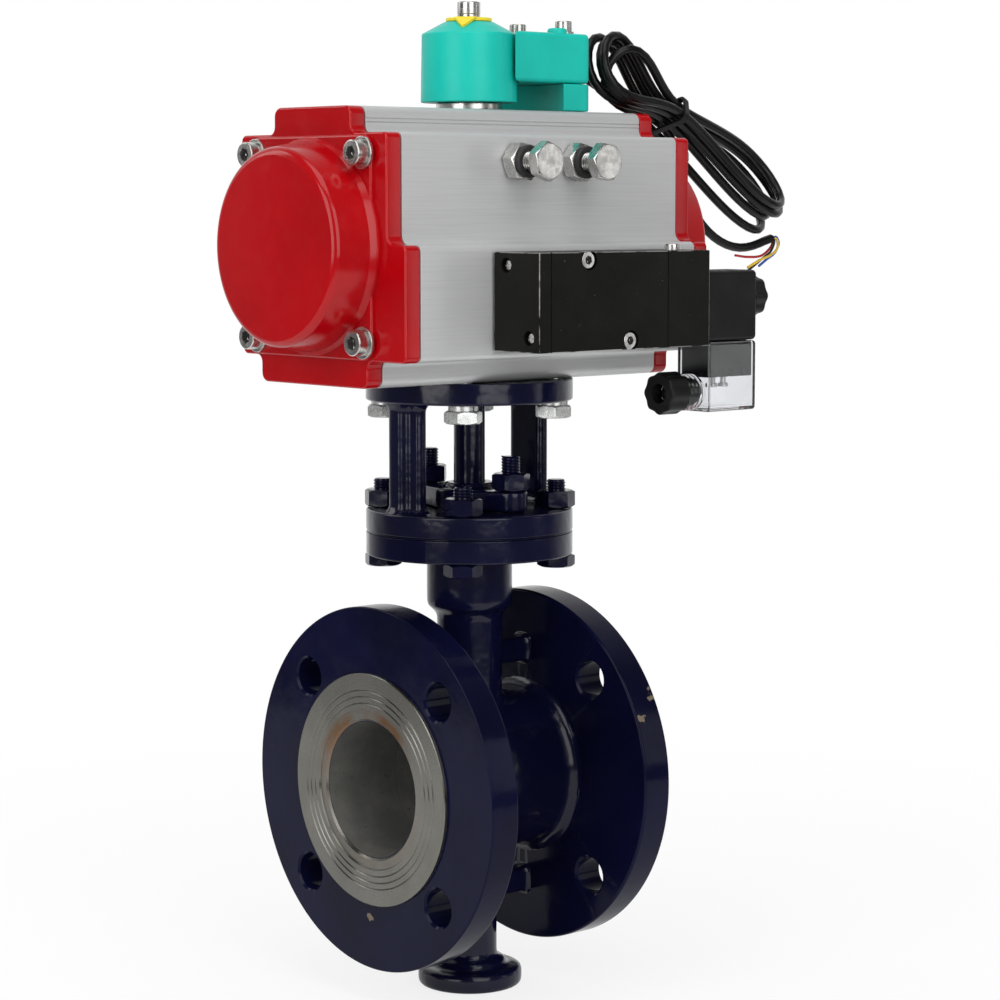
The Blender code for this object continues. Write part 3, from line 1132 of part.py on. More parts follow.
def make_solenoid():
    spool_place = (SPOOL_AXIS_Y, SPOOL_AXIS_Z)
    gasket = block((VALVE_INLET_X, -PAD_Y - FIT - VALVE_GASKET_T, VALVE_BOTTOM_Z),
                   (VALVE_OUTLET_X, -PAD_Y - FIT, VALVE_TOP_Z))
    ports = [(SPOOL_AXIS_Z, -AIR_PORT_X), (SPOOL_AXIS_Z, AIR_PORT_X)]
    cut(gasket, rods(AIR_PORT_D / 2, -VALVE_BACK_Y, -PAD_Y, "Y", ports))
    part("valve_gasket", gasket, RUBBER)

    body = block((VALVE_INLET_X, -VALVE_FRONT_Y, VALVE_BOTTOM_Z),
                 (VALVE_OUTLET_X, -VALVE_BACK_Y, VALVE_TOP_Z), VALVE_CHAMFER)
    spool_bore = SPOOL_D / 2 + RUN
    bore = rods(spool_bore, VALVE_INLET_X - PAST, VALVE_OUTLET_X + PAST, "X", [spool_place], SIDES_SMALL)
    sockets = rods(AIR_SOCKET_D / 2, VALVE_BOTTOM_Z - PAST, SPOOL_AXIS_Z, "Z",
                   [(i * AIR_SOCKET_STEP, SPOOL_AXIS_Y) for i in (-1, 0, 1)], SIDES_BORE)
    ways = rods(AIR_PORT_D / 2, SPOOL_AXIS_Y, -VALVE_BACK_Y + PAST, "Y", ports)
    part("solenoid_body", cut(body, bore, sockets, ways), BLACK)
    cover = block((VALVE_INLET_X - FIT - COVER_T, -VALVE_FRONT_Y, VALVE_BOTTOM_Z),
                  (VALVE_INLET_X - FIT, -VALVE_BACK_Y, VALVE_TOP_Z), VALVE_CHAMFER)
    part("solenoid_end_cover", cover, BLACK)

    pilot = block((PILOT_X, -VALVE_FRONT_Y, VALVE_BOTTOM_Z), (PILOT_END_X, -VALVE_BACK_Y, VALVE_TOP_Z),
                  VALVE_CHAMFER)
    stem = rods(TUBE_D / 2, PILOT_END_X - SINK, TUBE_END_X, "X", [spool_place], SIDES_BORE)
    bore_end = TUBE_END_X - TUBE_END_WALL
    guide = rods(PLUNGER_D / 2 + RUN, PILOT_X - PAST, bore_end, "X", [spool_place], SIDES_BORE)
    button_low = VALVE_TOP_Z + BUTTON_OUT - BUTTON_H
    button_place = (BUTTON_X, SPOOL_AXIS_Y)
    well = rods(BUTTON_D / 2 + RUN, button_low - BUTTON_TRAVEL - FIT, VALVE_TOP_Z + PAST, "Z", [button_place],
                SIDES_BORE)
    part("pilot_block", cut(join(pilot, stem), guide, well), BLACK)

    button_axis = axis_empty("override_axis", (*button_place, button_low))
    button_high = button_low + BUTTON_H
    button = rods(BUTTON_D / 2, button_low, button_high, "Z", [button_place], SIDES_BORE)
    cut(button, block((BUTTON_X - BUTTON_D, SPOOL_AXIS_Y - BUTTON_SLOT / 2, button_high - BUTTON_SLOT),
                      (BUTTON_X + BUTTON_D, SPOOL_AXIS_Y + BUTTON_SLOT / 2, button_high + PAST)))
    part("override_button", button, STAINLESS, button_axis)

    spool_axis = axis_empty("spool_axis", (0, SPOOL_AXIS_Y, SPOOL_AXIS_Z))
    spool_low = VALVE_INLET_X + FIT
    spool_high = VALVE_OUTLET_X - SPOOL_TRAVEL - FIT
    land = (spool_high - spool_low) / (2 * SPOOL_LANDS - 1)
    profile = [(0, spool_high)]
    for i in range(2 * SPOOL_LANDS - 1):
        radius = (SPOOL_D if i % 2 == 0 else SPOOL_WAIST_D) / 2
        profile += [(radius, spool_high - i * land), (radius, spool_high - (i + 1) * land)]
    profile.append((0, spool_low))
    part("spool", turned(profile, SIDES_SMALL, "X", (0, *spool_place)), ALUMINIUM, spool_axis)
    plunger_high = bore_end - PLUNGER_TRAVEL - FIT
    plunger = rods(PLUNGER_D / 2, plunger_high - PLUNGER_L, plunger_high, "X", [spool_place], SIDES_BORE)
    part("plunger", plunger, STAINLESS, spool_axis)


def make_coil():
    place = (SPOOL_AXIS_Y, SPOOL_AXIS_Z)
    near_y = SPOOL_AXIS_Y - COIL_W / 2
    far_y = SPOOL_AXIS_Y + COIL_W / 2
    coil = block((COIL_X, near_y, COIL_BOTTOM_Z), (COIL_END_X, far_y, COIL_TOP_Z), COIL_ROUND)
    tunnel = rods(TUBE_D / 2 + FIT, COIL_X - PAST, COIL_END_X + PAST, "X", [place], SIDES_BORE)
    part("coil", cut(coil, tunnel), BLACK)
    nut = lobed(COIL_NUT_D, "X", COIL_NUT_X, COIL_NUT_X + COIL_NUT_T, place)
    thread = rods(TUBE_D / 2 + FIT, COIL_NUT_X - PAST, TUBE_END_X + FIT, "X", [place], SIDES_BORE)
    part("coil_nut", cut(nut, thread), BLACK)

    rim = COIL_BOTTOM_Z - FIT
    entry = (SPOOL_AXIS_Y, ENTRY_Z)
    shell = block((PLUG_NEAR_X, near_y, PLUG_BOTTOM_Z), (COIL_END_X, far_y, rim), PLUG_WALL / 2)
    inside = block((PLUG_NEAR_X + PLUG_WALL, near_y + PLUG_WALL, PLUG_BOTTOM_Z + PLUG_WALL),
                   (COIL_END_X - PLUG_WALL, far_y - PLUG_WALL, rim + PAST))
    rib = (PLUG_NEAR_X - GLAND_NUT_X) / (2 * COLLAR_RIBS + 1)
    profile = [(0, PLUG_NEAR_X + PLUG_WALL / 2), (COLLAR_D / 2, PLUG_NEAR_X + PLUG_WALL / 2)]
    for i in range(COLLAR_RIBS):
        high = PLUG_NEAR_X - (2 * i + 1) * rib
        outer = COLLAR_D / 2 + COLLAR_RIB_H
        profile += [(COLLAR_D / 2, high), (outer, high), (outer, high - rib), (COLLAR_D / 2, high - rib)]
    profile += [(COLLAR_D / 2, COLLAR_END_X), (0, COLLAR_END_X)]
    collar = turned(profile, SIDES_BORE, "X", (0, *entry))
    hole = rods(ENTRY_D / 2, COLLAR_END_X - PAST, PLUG_NEAR_X + PLUG_WALL + PAST, "X", [entry], SIDES_BORE)
    part("plug_shell", cut(join(shell, collar), inside, hole), CLEAR)

    wall = PLUG_WALL + FIT
    terminal = block((PLUG_NEAR_X + wall, near_y + wall, rim - BLOCK_H),
                     (COIL_END_X - wall, far_y - wall, rim))
    spread = (COIL_END_X - PLUG_NEAR_X - 2 * wall) / (BLOCK_SLOTS + 1)
    for i in range(BLOCK_SLOTS):
        middle = PLUG_NEAR_X + wall + (i + 1) * spread
        cut(terminal, block((middle - BLOCK_SLOT_W / 2, near_y, rim - BLOCK_H - PAST),
                            (middle + BLOCK_SLOT_W / 2, far_y, rim - BLOCK_H + BLOCK_SLOT_T)))
    part("terminal_block", terminal, BLACK)

    nut = lobed(GLAND_NUT_D, "X", GLAND_NUT_X - FIT - GLAND_NUT_L, GLAND_NUT_X - FIT, entry)
    seat = rods(COLLAR_D / 2 + FIT, COLLAR_END_X - FIT, GLAND_NUT_X + PAST, "X", [entry], SIDES_MEDIUM)
    mouth = rods(ENTRY_D / 2, GLAND_NUT_X - GLAND_NUT_L - PAST, GLAND_NUT_X, "X", [entry], SIDES_BORE)
    part("plug_gland_nut", cut(nut, seat, mouth), BLACK)


def hank_frame(run):
    """The hank's own directions at a run along it: ahead, across the tie's short way and its long way."""
    tilt = HANK_TILT + HANK_TWIST * run
    ahead = Vector((math.cos(HANK_SLOPE), 0, math.sin(HANK_SLOPE)))
    upward = Vector((-math.sin(HANK_SLOPE), 0, math.cos(HANK_SLOPE)))
    rise = upward * math.cos(tilt) + Vector((0, math.sin(tilt), 0))
    return ahead, rise, ahead.cross(rise)


def hank_place(run, rise, slot):
    """A place in the hank, from its run along the hank, its rise across it and its slot at the tie."""
    ahead, short, long = hank_frame(run)
    middle = Vector((HANK_TIE_X, HANK_MIDDLE_Y, HANK_TIE_Z))
    return middle + ahead * run + short * rise + long * slot * CABLE_STEP


def hank_point(turn):
    """The cable's centre after some turns, counted from where it first passes the tie."""
    angle = 2 * math.pi * turn - math.pi / 2
    across = math.sin(angle)
    outward = math.cos(angle)
    loop = math.floor(turn)
    share = turn - loop
    if share < 0.5:
        reach, swell, sag = HANK_OUT[loop]
        power = HANK_POWER_OUT
        start, end = HANK_LOWER[loop], HANK_UPPER[loop]
        way = 2 * share
    else:
        reach, swell, sag = HANK_IN[loop]
        power = HANK_POWER_IN
        start, end = HANK_UPPER[loop], HANK_LOWER[loop + 1]
        crossing = (0.34, 0.32) if loop + 1 == len(HANK_IN) else (0.30, 0.70)
        way = (2 * share - 1 - crossing[0]) / crossing[1]
    size = abs(outward)
    rise = across * (HANK_WAIST + swell * size ** power) + sag * size ** 2
    return hank_place(reach * outward, rise, start + (end - start) * smooth_step(way))


def evened(points, gap):
    """The same route with its points about a gap apart."""
    travelled = [0.0]
    for start, end in zip(points, points[1:]):
        travelled.append(travelled[-1] + (end - start).length)
    count = round(travelled[-1] / gap)
    found = []
    at = 0
    for i in range(count):
        distance = travelled[-1] * i / count
        while travelled[at + 1] <= distance:
            at += 1
        share = (distance - travelled[at]) / (travelled[at + 1] - travelled[at])
        found.append(points[at].lerp(points[at + 1], share))
    return found + [points[-1]]


def stiffened(points, passes):
    """The same route with its bends opened as a stiff cable's are, its two first and last points kept."""
    route = list(points)
    for share in (STIFF_GIVE, STIFF_SPRING) * passes:
        middles = [(before + after) / 2 for before, after in zip(route, route[2:])]
        moved = [here.lerp(middle, share) for here, middle in zip(route[1:], middles)]
        route = route[:2] + moved[1:-1] + route[-2:]
    return route


def cable_points():
    leave = SENSOR_END_X + FIT
    start = [Vector((leave + i * CABLE_D, CABLE_EXIT_Y, CABLE_EXIT_Z)) for i in range(3)]
    lead = start + [hank_place(*place) for place in LEAD_PLACES]
    lead = smooth_curve(lead + [hank_point(0.0)], HANK_STEPS)
    hank = [hank_point(i / HANK_POINTS) for i in range(1, len(HANK_OUT) * HANK_POINTS)]
    last = [hank_place(run, -HANK_WAIST, HANK_LOWER[-1]) for run in (0.0, TIE_W / 2, TIE_W)]
    tail = last + [Vector((HANK_TIE_X + x, y, HANK_TIE_Z + z)) for x, y, z in TAIL_POINTS]
    tail = smooth_curve(tail, HANK_STEPS)
    end = tail[-1] + (tail[-1] - tail[-2]).normalized() * CABLE_D
    return stiffened(evened(lead + hank + tail + [end], CABLE_POINT_GAP), STIFF_PASSES)


def make_cable():
    points = cable_points()
    length = sum((end - start).length for start, end in zip(points, points[1:]))
    print(f"sensor_cable {length:.3f} m, least gap {least_gap(points, CABLE_D, GAP_SKIP) / MM:.2f} mm")
    part("sensor_cable", tube(points, CABLE_D, TUBE_RESOLUTION), BLACK)

    axis, up, side = hank_frame(0.0)
    turn = Matrix((up, side, axis)).transposed().to_4x4()
    half_up = HANK_WAIST + CABLE_D / 2 + TIE_SLACK
    half_side = max(HANK_LOWER) * CABLE_STEP + CABLE_D / 2 + TIE_SLACK
    place = Matrix.Translation((HANK_TIE_X, HANK_MIDDLE_Y, HANK_TIE_Z)) @ turn

    def band(grow):
        a = half_up + grow
        b = half_side + grow
        bend = CABLE_D / 2 + grow
        return rounded([(-a, -b, bend), (a, -b, bend), (a, b, bend), (-a, b, bend)])

    tie = prism([band(TIE_T), band(0.0)], "Z", -TIE_W / 2, TIE_W / 2, place)
    head_low = half_up + TIE_T / 2
    head = block((head_low, -TIE_HEAD / 2, -TIE_HEAD / 2), (head_low + TIE_HEAD, TIE_HEAD / 2, TIE_HEAD / 2))
    head.matrix_world = place
    part("cable_tie", join(tie, head), BLACK)

    end = points[-1]
    ahead = (points[-1] - points[-2]).normalized()
    foot = end + ahead * FIT
    plug = as_mesh(tube([foot, foot + ahead * CORE_PLUG_L], CORE_PLUG_D, TUBE_RESOLUTION))
    cores = []
    for route in CORE_ROUTES:
        inner = foot + ahead * CORE_PLUG_L / 2
        core = smooth_curve([inner] + [end + Vector(step) for step in route], CURVE_STEPS)
        cores.append(as_mesh(tube(core, CORE_D, 0)))
    part("cable_cores", join(plug, *cores), COPPER)


def make_all():
    stem_axis = axis_empty("stem_axis", (0, 0, 0))
    make_valve_body()
    make_gland()
    make_yoke()
    make_actuator_body()
    for name, side in (("inlet", -1), ("outlet", 1)):
        slide = axis_empty(f"piston_axis_{name}", (0, 0, ACT_AXIS_Z))
        make_end_cap(f"end_cap_{name}", side)
        make_piston(name, side, slide)
        make_spring(name, side)
    for name, x in (("open", -STOP_X), ("closed", STOP_X)):
        make_stop(name, x, axis_empty(f"stop_axis_{name}", (x, 0, CAM_Z)))
    make_stem(stem_axis)
    make_pinion(stem_axis)
    make_indicator(stem_axis)
    make_sensor()
    make_solenoid()
    make_coil()
    make_cable()


make_all()
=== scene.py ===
"""Pneumatic actuated valve: the finished look of every piece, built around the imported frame.

Lengths are in millimetres until a mesh is made, and the frame's own calls are in metres.
"""

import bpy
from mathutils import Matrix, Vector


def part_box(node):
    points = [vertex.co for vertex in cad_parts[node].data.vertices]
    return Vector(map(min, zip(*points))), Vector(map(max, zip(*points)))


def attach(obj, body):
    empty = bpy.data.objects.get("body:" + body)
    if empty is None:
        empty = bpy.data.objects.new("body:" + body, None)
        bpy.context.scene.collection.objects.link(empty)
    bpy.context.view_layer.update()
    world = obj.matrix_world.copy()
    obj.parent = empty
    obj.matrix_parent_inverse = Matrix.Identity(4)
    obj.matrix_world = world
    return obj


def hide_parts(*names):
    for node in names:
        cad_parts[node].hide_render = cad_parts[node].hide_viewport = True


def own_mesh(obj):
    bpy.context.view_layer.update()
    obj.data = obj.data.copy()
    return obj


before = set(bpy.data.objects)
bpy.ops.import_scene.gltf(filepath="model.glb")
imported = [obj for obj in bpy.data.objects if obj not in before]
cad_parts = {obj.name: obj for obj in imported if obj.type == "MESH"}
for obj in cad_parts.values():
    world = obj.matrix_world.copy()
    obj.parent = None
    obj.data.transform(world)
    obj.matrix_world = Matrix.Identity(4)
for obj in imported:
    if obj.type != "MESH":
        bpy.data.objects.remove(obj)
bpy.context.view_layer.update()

import math

import bmesh
import bpy
from mathutils import Matrix, Vector

# Valve body
# One iron casting: two pipe flanges, the barrel between them, the bonnet neck, the foot and two ribs.
# Thick navy enamel covers it, apart from the bore, and the drilled holes have broken edges.

MM = 0.001


def span(name, axis):
    """How far a CAD piece reaches along an axis, low and high."""
    place = "XYZ".index(axis)
    return tuple(round(corner[place] / MM, 3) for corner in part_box(name))


def rounded(corners, steps=5, closed=True):
    """An outline of (a, b, radius) corners, each rounded to its radius."""
    points = []
    last = len(corners) - 1
    for i, (a, b, radius) in enumerate(corners):
        here = Vector((a, b))
        if not radius or (not closed and i in (0, last)):
            points.append((a, b))
            continue
        back = (Vector(corners[i - 1][:2]) - here).normalized()
        ahead = (Vector(corners[(i + 1) % len(corners)][:2]) - here).normalized()
        half = back.angle(ahead) / 2
        centre = here + (back + ahead).normalized() * radius / math.sin(half)
        start = here + back * radius / math.tan(half) - centre
        turn = start.angle_signed(here + ahead * radius / math.tan(half) - centre)
        for step in range(steps + 1):
            points.append(tuple(centre + Matrix.Rotation(-turn * step / steps, 2) @ start))
    return points


def stand(axis, a, b, height):
    """A point from two coordinates across an axis and its height along it."""
    return {"X": (height, a, b), "Y": (b, height, a), "Z": (a, b, height)}[axis]


def skin(rings, loop=False):
    """A closed shell over rings of points. A ring of one point is a pole."""
    points, faces, starts = [], [], []
    for each in rings:
        starts.append(len(points))
        points += each
    count = len(rings)
    for i in range(count if loop else count - 1):
        j = (i + 1) % count
        near, far = len(rings[i]), len(rings[j])
        for k in range(max(near, far)):
            corners = (starts[i] + k % near, starts[i] + (k + 1) % near,
                       starts[j] + (k + 1) % far, starts[j] + k % far)
            faces.append(list(dict.fromkeys(corners)))
    if not loop:
        for i in (0, count - 1):
            if len(rings[i]) > 2:
                faces.append(list(range(starts[i], starts[i] + len(rings[i]))))
    return points, faces


def polar(radius, angle, a=0, b=0):
    """The point at an angle on a circle about a centre."""
    return a + radius * math.cos(angle), b + radius * math.sin(angle)


def full_turn(count):
    """The angles that share out a full turn."""
    return [2 * math.pi * i / count for i in range(count)]


def lathe(profile, axis="Z", centre=(0, 0), sides=96, loop=False):
    """A turned shell. The profile is (radius, height) pairs, and a loop closes on itself."""
    rings = []
    for radius, height in profile:
        if radius:
            rings.append([stand(axis, *polar(radius, angle, *centre), height) for angle in full_turn(sides)])
        else:
            rings.append([stand(axis, *centre, height)])
    return skin(rings, loop)


def turned(corners, axis="Z", centre=(0, 0), sides=96, steps=5):
    """A solid turned shell, its rounded outline starting and ending on the axis."""
    return lathe(rounded(corners, steps, closed=False), axis, centre, sides)


def rod(radius, low, high, axis="Z", centre=(0, 0), edge=0.0, sides=40):
    """A round bar with broken edges."""
    corners = [(0, low, 0), (radius, low, edge), (radius, high, edge), (0, high, 0)]
    return turned(corners, axis, centre, sides, 3)


def plate_disc(radius, low, high, axis="Z", low_edge=0.8, high_edge=0.8):
    """A turned plate with small round edges."""
    corners = [(0, low, 0), (radius, low, low_edge), (radius, high, high_edge), (0, high, 0)]
    return turned(corners, axis, sides=160, steps=4)


def grown(outline, by):
    """An outline moved outwards by a distance, or inwards by a negative one."""
    count = len(outline)
    area = sum(outline[i - 1][0] * outline[i][1] - outline[i][0] * outline[i - 1][1] for i in range(count))
    side = by if area > 0 else -by
    points = []
    for i, here in enumerate(outline):
        back = (Vector(here) - Vector(outline[i - 1])).normalized()
        ahead = (Vector(outline[(i + 1) % count]) - Vector(here)).normalized()
        lean = (back + ahead).normalized()
        out = Vector((lean.y, -lean.x)) * side / max(lean.dot(ahead), 0.3)
        points.append(tuple(Vector(here) + out))
    return points


def slab(outline, axis, low, high, edge=0.0, steps=3):
    """An outline extruded along an axis, its two rims rounded."""
    rings = []
    turns = [math.pi / 2 * i / steps for i in range(steps + 1)] if edge else [math.pi / 2]
    for turn in turns:
        rings.append((edge * (math.sin(turn) - 1), low + edge * (1 - math.cos(turn))))
    for turn in reversed(turns):
        rings.append((edge * (math.sin(turn) - 1), high - edge * (1 - math.cos(turn))))
    return skin([[stand(axis, a, b, height) for a, b in grown(outline, by)] for by, height in rings])


def frame_of(a_low, b_low, a_high, b_high, radius):
    """A rectangle with round corners."""
    return rounded([(a_low, b_low, radius), (a_high, b_low, radius), (a_high, b_high, radius),
                    (a_low, b_high, radius)])


def around(radius):
    """Four places on a circle, halfway between the axes."""
    return [polar(radius, math.radians(45 + 90 * i)) for i in range(4)]


def linked(name, data):
    """A new object in the scene."""
    item = bpy.data.objects.new(name, data)
    bpy.context.scene.collection.objects.link(item)
    return item


def shaped(name, *shells):
    """A mesh object of one or more shells, in metres, welded and facing out."""
    shape = bmesh.new()
    for points, faces in shells:
        corners = [shape.verts.new(Vector(point) * MM) for point in points]
        for face in faces:
            shape.faces.new([corners[i] for i in face])
    bmesh.ops.remove_doubles(shape, verts=shape.verts, dist=1e-7)
    bmesh.ops.recalc_face_normals(shape, faces=shape.faces)
    mesh = bpy.data.meshes.new(name)
    shape.to_mesh(mesh)
    shape.free()
    return linked(name, mesh)


def settled(item):
    """Turns an object's modifiers into a plain mesh."""
    bpy.context.view_layer.update()
    mesh = bpy.data.meshes.new_from_object(item.evaluated_get(bpy.context.evaluated_depsgraph_get()))
    item.modifiers.clear()
    item.data = mesh
    mesh.name = item.name
    return item


def combined(item, operation, shells):
    """Cuts shells from an object, or joins them to it, one after the other."""
    others = [shaped("tool", shell) for shell in shells]
    for other in others:
        change = item.modifiers.new("shape", "BOOLEAN")
        change.operation, change.solver, change.object = operation, "MANIFOLD", other
    settled(item)
    for other in others:
        bpy.data.objects.remove(other, do_unlink=True)
    return item


def cut(item, *shells):
    return combined(item, "DIFFERENCE", shells)


def joined(item, *shells):
    return combined(item, "UNION", shells)


def cast(item, grain_size, passes):
    """Melts overlapping shells into one casting with soft inner corners."""
    remesh = item.modifiers.new("melt", "REMESH")
    remesh.mode, remesh.voxel_size, remesh.use_smooth_shade = "VOXEL", grain_size * MM, True
    smooth = item.modifiers.new("soften", "SMOOTH")
    smooth.factor, smooth.iterations = 0.5, passes
    return settled(item)


def fitted(item, body, slot, nodes, *finishes, sharp=38):
    """Shades a finished piece, gives it its finishes and sets it on the frame."""
    slots = item.data.materials
    while len(slots) < len(finishes):
        slots.append(None)
    for i, each in enumerate(finishes):
        slots[i] = each
    item.data.shade_smooth()
    item.data.set_sharp_from_angle(angle=math.radians(sharp))
    weigh = item.modifiers.new("normals", "WEIGHTED_NORMAL")
    weigh.keep_sharp = True
    settled(item)
    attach(item, body)
    if nodes:
        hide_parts(*nodes)
    return item


def finish(name, colour, roughness, metallic=0.0, **levels):
    """A material with its plain values on its own shader."""
    made = bpy.data.materials.new(name)
    made.use_nodes = True
    values = {"Base Color": (*colour, 1.0), "Roughness": roughness, "Metallic": metallic}
    values.update({label.replace("_", " "): value for label, value in levels.items()})
    for label, value in values.items():
        made.node_tree.nodes["Principled BSDF"].inputs[label].default_value = value
    made.diffuse_color = (*colour, 1.0)
    return made


def wired(tree, kind, inputs, settings):
    """A new node of a tree, its settings made and its inputs linked or set."""
    made = tree.nodes.new(kind)
    for label, value in settings.items():
        setattr(made, label, value)
    for label, value in inputs.items():
        if isinstance(value, bpy.types.NodeSocket):
            tree.links.new(value, made.inputs[label])
        else:
            made.inputs[label].default_value = value
    return made


def node(material, kind, inputs, **settings):
    return wired(material.node_tree, "ShaderNode" + kind, inputs, settings)


def spots(material, size, detail=3.0, stretch=(1, 1, 1), warp=0.0):
    """Noise whose spots are about this many millimetres across."""
    place = node(material, "TexCoord", {})
    grid = node(material, "Mapping", {"Vector": place.outputs["Object"], "Scale": stretch})
    noise = node(material, "TexNoise", {"Vector": grid.outputs[0], "Scale": 1 / (size * MM), "Detail": detail,
                                        "Distortion": warp})
    return noise.outputs[0]


def between(material, value, start, stop, low=0.0, high=1.0):
    """A value spread from one range to another."""
    return node(material, "MapRange", {0: value, 1: start, 2: stop, 3: low, 4: high}).outputs[0]


def math_node(material, operation, first, second):
    return node(material, "Math", {0: first, 1: second}, operation=operation).outputs[0]


def lead(material, output, label):
    material.node_tree.links.new(output, material.node_tree.nodes["Principled BSDF"].inputs[label])


def overlay(material, mask, colour):
    """Lays a colour over the finish where the mask is 1."""
    socket = material.node_tree.nodes["Principled BSDF"].inputs["Base Color"]
    under = socket.links[0].from_socket if socket.is_linked else tuple(socket.default_value)
    mix = node(material, "Mix", {0: mask, 6: under, 7: (*colour, 1.0)}, data_type="RGBA")
    lead(material, mix.outputs[2], "Base Color")


def mottle(material, size, colour, start=0.42, stop=0.62, detail=3.0, share=1.0):
    """Lays a colour over the finish in spots, where their noise passes from start to stop."""
    overlay(material, between(material, spots(material, size, detail), start, stop, 0.0, share), colour)


def scuff(material, pattern, low, high):
    """Lets the roughness follow a pattern, or noise of a size."""
    value = pattern if isinstance(pattern, bpy.types.NodeSocket) else spots(material, pattern)
    lead(material, between(material, value, 0.3, 0.7, low, high), "Roughness")


def relief(material, height, depth):
    """Raises the surface by a pattern, its depth in millimetres, on top of any relief that it has."""
    socket = material.node_tree.nodes["Principled BSDF"].inputs["Normal"]
    inputs = {"Height": height, "Distance": depth * MM, "Strength": 1.0}
    if socket.is_linked:
        inputs["Normal"] = socket.links[0].from_socket
    lead(material, node(material, "Bump", inputs).outputs[0], "Normal")


def grain(material, size, depth, detail=3.0):
    """Raises the surface in spots."""
    relief(material, spots(material, size, detail), depth)


KNOCKS = (((-65.3, 1.5, -66), 3.6), ((51, -80, 46), 5.5), ((41, -85.5, 35), 6.0))
CHIP_LEVEL, CHIP_EDGE = 0.775, 0.012


def navy_paint(name, wave, shine):
    """Thick brushed navy enamel in waves of a depth, chipped at random and knocked off in three places."""
    paint = finish(name, (0.0034, 0.0039, 0.0205), 0.14, Specular_IOR_Level=shine)
    mottle(paint, 70, (0.0021, 0.0024, 0.0125))
    scuff(paint, 12, 0.09, 0.20)
    grain(paint, 17, wave, 1.0)
    grain(paint, 6, 0.4 * wave, 1.0)
    grain(paint, 2.0, 0.016, 2.0)
    mottle(paint, 7, (0.14, 0.10, 0.06), CHIP_LEVEL, CHIP_LEVEL + CHIP_EDGE, 4.0)
    ragged = between(paint, spots(paint, 4.5, 4.0), 0.25, 0.75, -0.6, 0.6)
    place = node(paint, "TexCoord", {}).outputs["Object"]
    for knock, reach in KNOCKS:
        from_knock = node(paint, "VectorMath", {0: place, 1: Vector(knock) * MM}, operation="DISTANCE")
        depth = between(paint, from_knock.outputs["Value"], 0.0, reach * MM, 1.0, 0.0)
        torn = math_node(paint, "ADD", depth, ragged)
        overlay(paint, between(paint, torn, 0.62, 0.68), (0.13, 0.105, 0.075))
    return paint


navy = navy_paint("navy_enamel", 0.36, 0.30)
flange_navy = navy_paint("flange_enamel", 0.12, 0.10)

bore_iron = finish("bare_bore_iron", (0.10, 0.10, 0.092), 0.55, 0.2)
mottle(bore_iron, 14, (0.13, 0.128, 0.118), 0.42, 0.66, 5.0)
mottle(bore_iron, 2.2, (0.05, 0.049, 0.045), 0.66, 0.76)
scuff(bore_iron, 6, 0.42, 0.68)
grain(bore_iron, 3.0, 0.05)

INLET_FACE, OUTLET_FACE = span("valve_body", "X")
BODY_BOTTOM, BODY_TOP = span("valve_body", "Z")
FLANGE_R = span("valve_body", "Y")[1]
BONNET_R = span("yoke", "Y")[1]
RAISED_R, RAISED_H, FLANGE_T = 59.0, 1.9, 17.1
INLET_RIM, OUTLET_RIM = INLET_FACE + RAISED_H, OUTLET_FACE - RAISED_H
INLET_BACK, OUTLET_BACK = INLET_RIM + FLANGE_T, OUTLET_RIM - FLANGE_T
BORE_R, POCKET_R, STEM_HOLE_R = 34.5, 36.8, 8.6
BARREL_R, BARREL_FILLET, BONNET_LOW = 41, 7, 115
FLANGE_BOLT_R, BONNET_BOLT_R, M10_HOLE_R = 72.5, 44.5, 5.3
HOLE_R, HOLE_MOUTH_R, HOLE_BACK_R, HOLE_EDGE = 9.5, 10.6, 10.8, 1.0
MELT_R, MELT_DEPTH, MELT_LAP = 80, 6, 0.4
RIB_Z, RIB_HALF_W, RIB_HALF_H, RIB_ENDS = 61.5, 5, 6.5, (-50, 38.5)
EDGE, SOFT_EDGE, THIN_EDGE, PAST = 0.8, 1.4, 0.4, 2

barrel_ends = (INLET_BACK - MELT_LAP, OUTLET_BACK + MELT_LAP)
melt_ends = (INLET_BACK - MELT_DEPTH, OUTLET_BACK + MELT_DEPTH)
barrel_line = [(0, melt_ends[0], 0), (MELT_R, melt_ends[0], 0), (MELT_R, barrel_ends[0], 0),
               (BARREL_R, barrel_ends[0], BARREL_FILLET), (BARREL_R, barrel_ends[1], BARREL_FILLET),
               (MELT_R, barrel_ends[1], 0), (MELT_R, melt_ends[1], 0), (0, melt_ends[1], 0)]
neck_line = [(0, 20, 0), (16.8, 20, 0), (16.8, 84, 3), (22, 88.5, 3), (22, 115.4, 2.5), (48, 115.4, 0),
             (48, 120, 0), (0, 120, 0)]
foot_line = [(0, -20, 0), (14, -20, 0), (14, -97, 2), (18.5, -97, 1.2), (18.5, -101, 1.2), (27, -101, 2.5),
             (27, BODY_BOTTOM, 2.0), (0, BODY_BOTTOM, 0)]
body_shells = [turned(barrel_line, "X", sides=160), turned(neck_line), turned(foot_line)]
for rib_z in (RIB_Z, -RIB_Z):
    section = frame_of(-RIB_HALF_W, rib_z - RIB_HALF_H, RIB_HALF_W, rib_z + RIB_HALF_H, 2.0)
    body_shells.append(slab(section, "X", *RIB_ENDS))
valve_casting = cast(shaped("valve_casting", *body_shells), 1.4, 6)
joined(valve_casting, plate_disc(FLANGE_R, INLET_RIM, INLET_BACK, "X", EDGE, SOFT_EDGE),
       plate_disc(FLANGE_R, OUTLET_BACK, OUTLET_RIM, "X", SOFT_EDGE, EDGE),
       plate_disc(BONNET_R, BONNET_LOW, BODY_TOP, "Z", 1.0, THIN_EDGE))

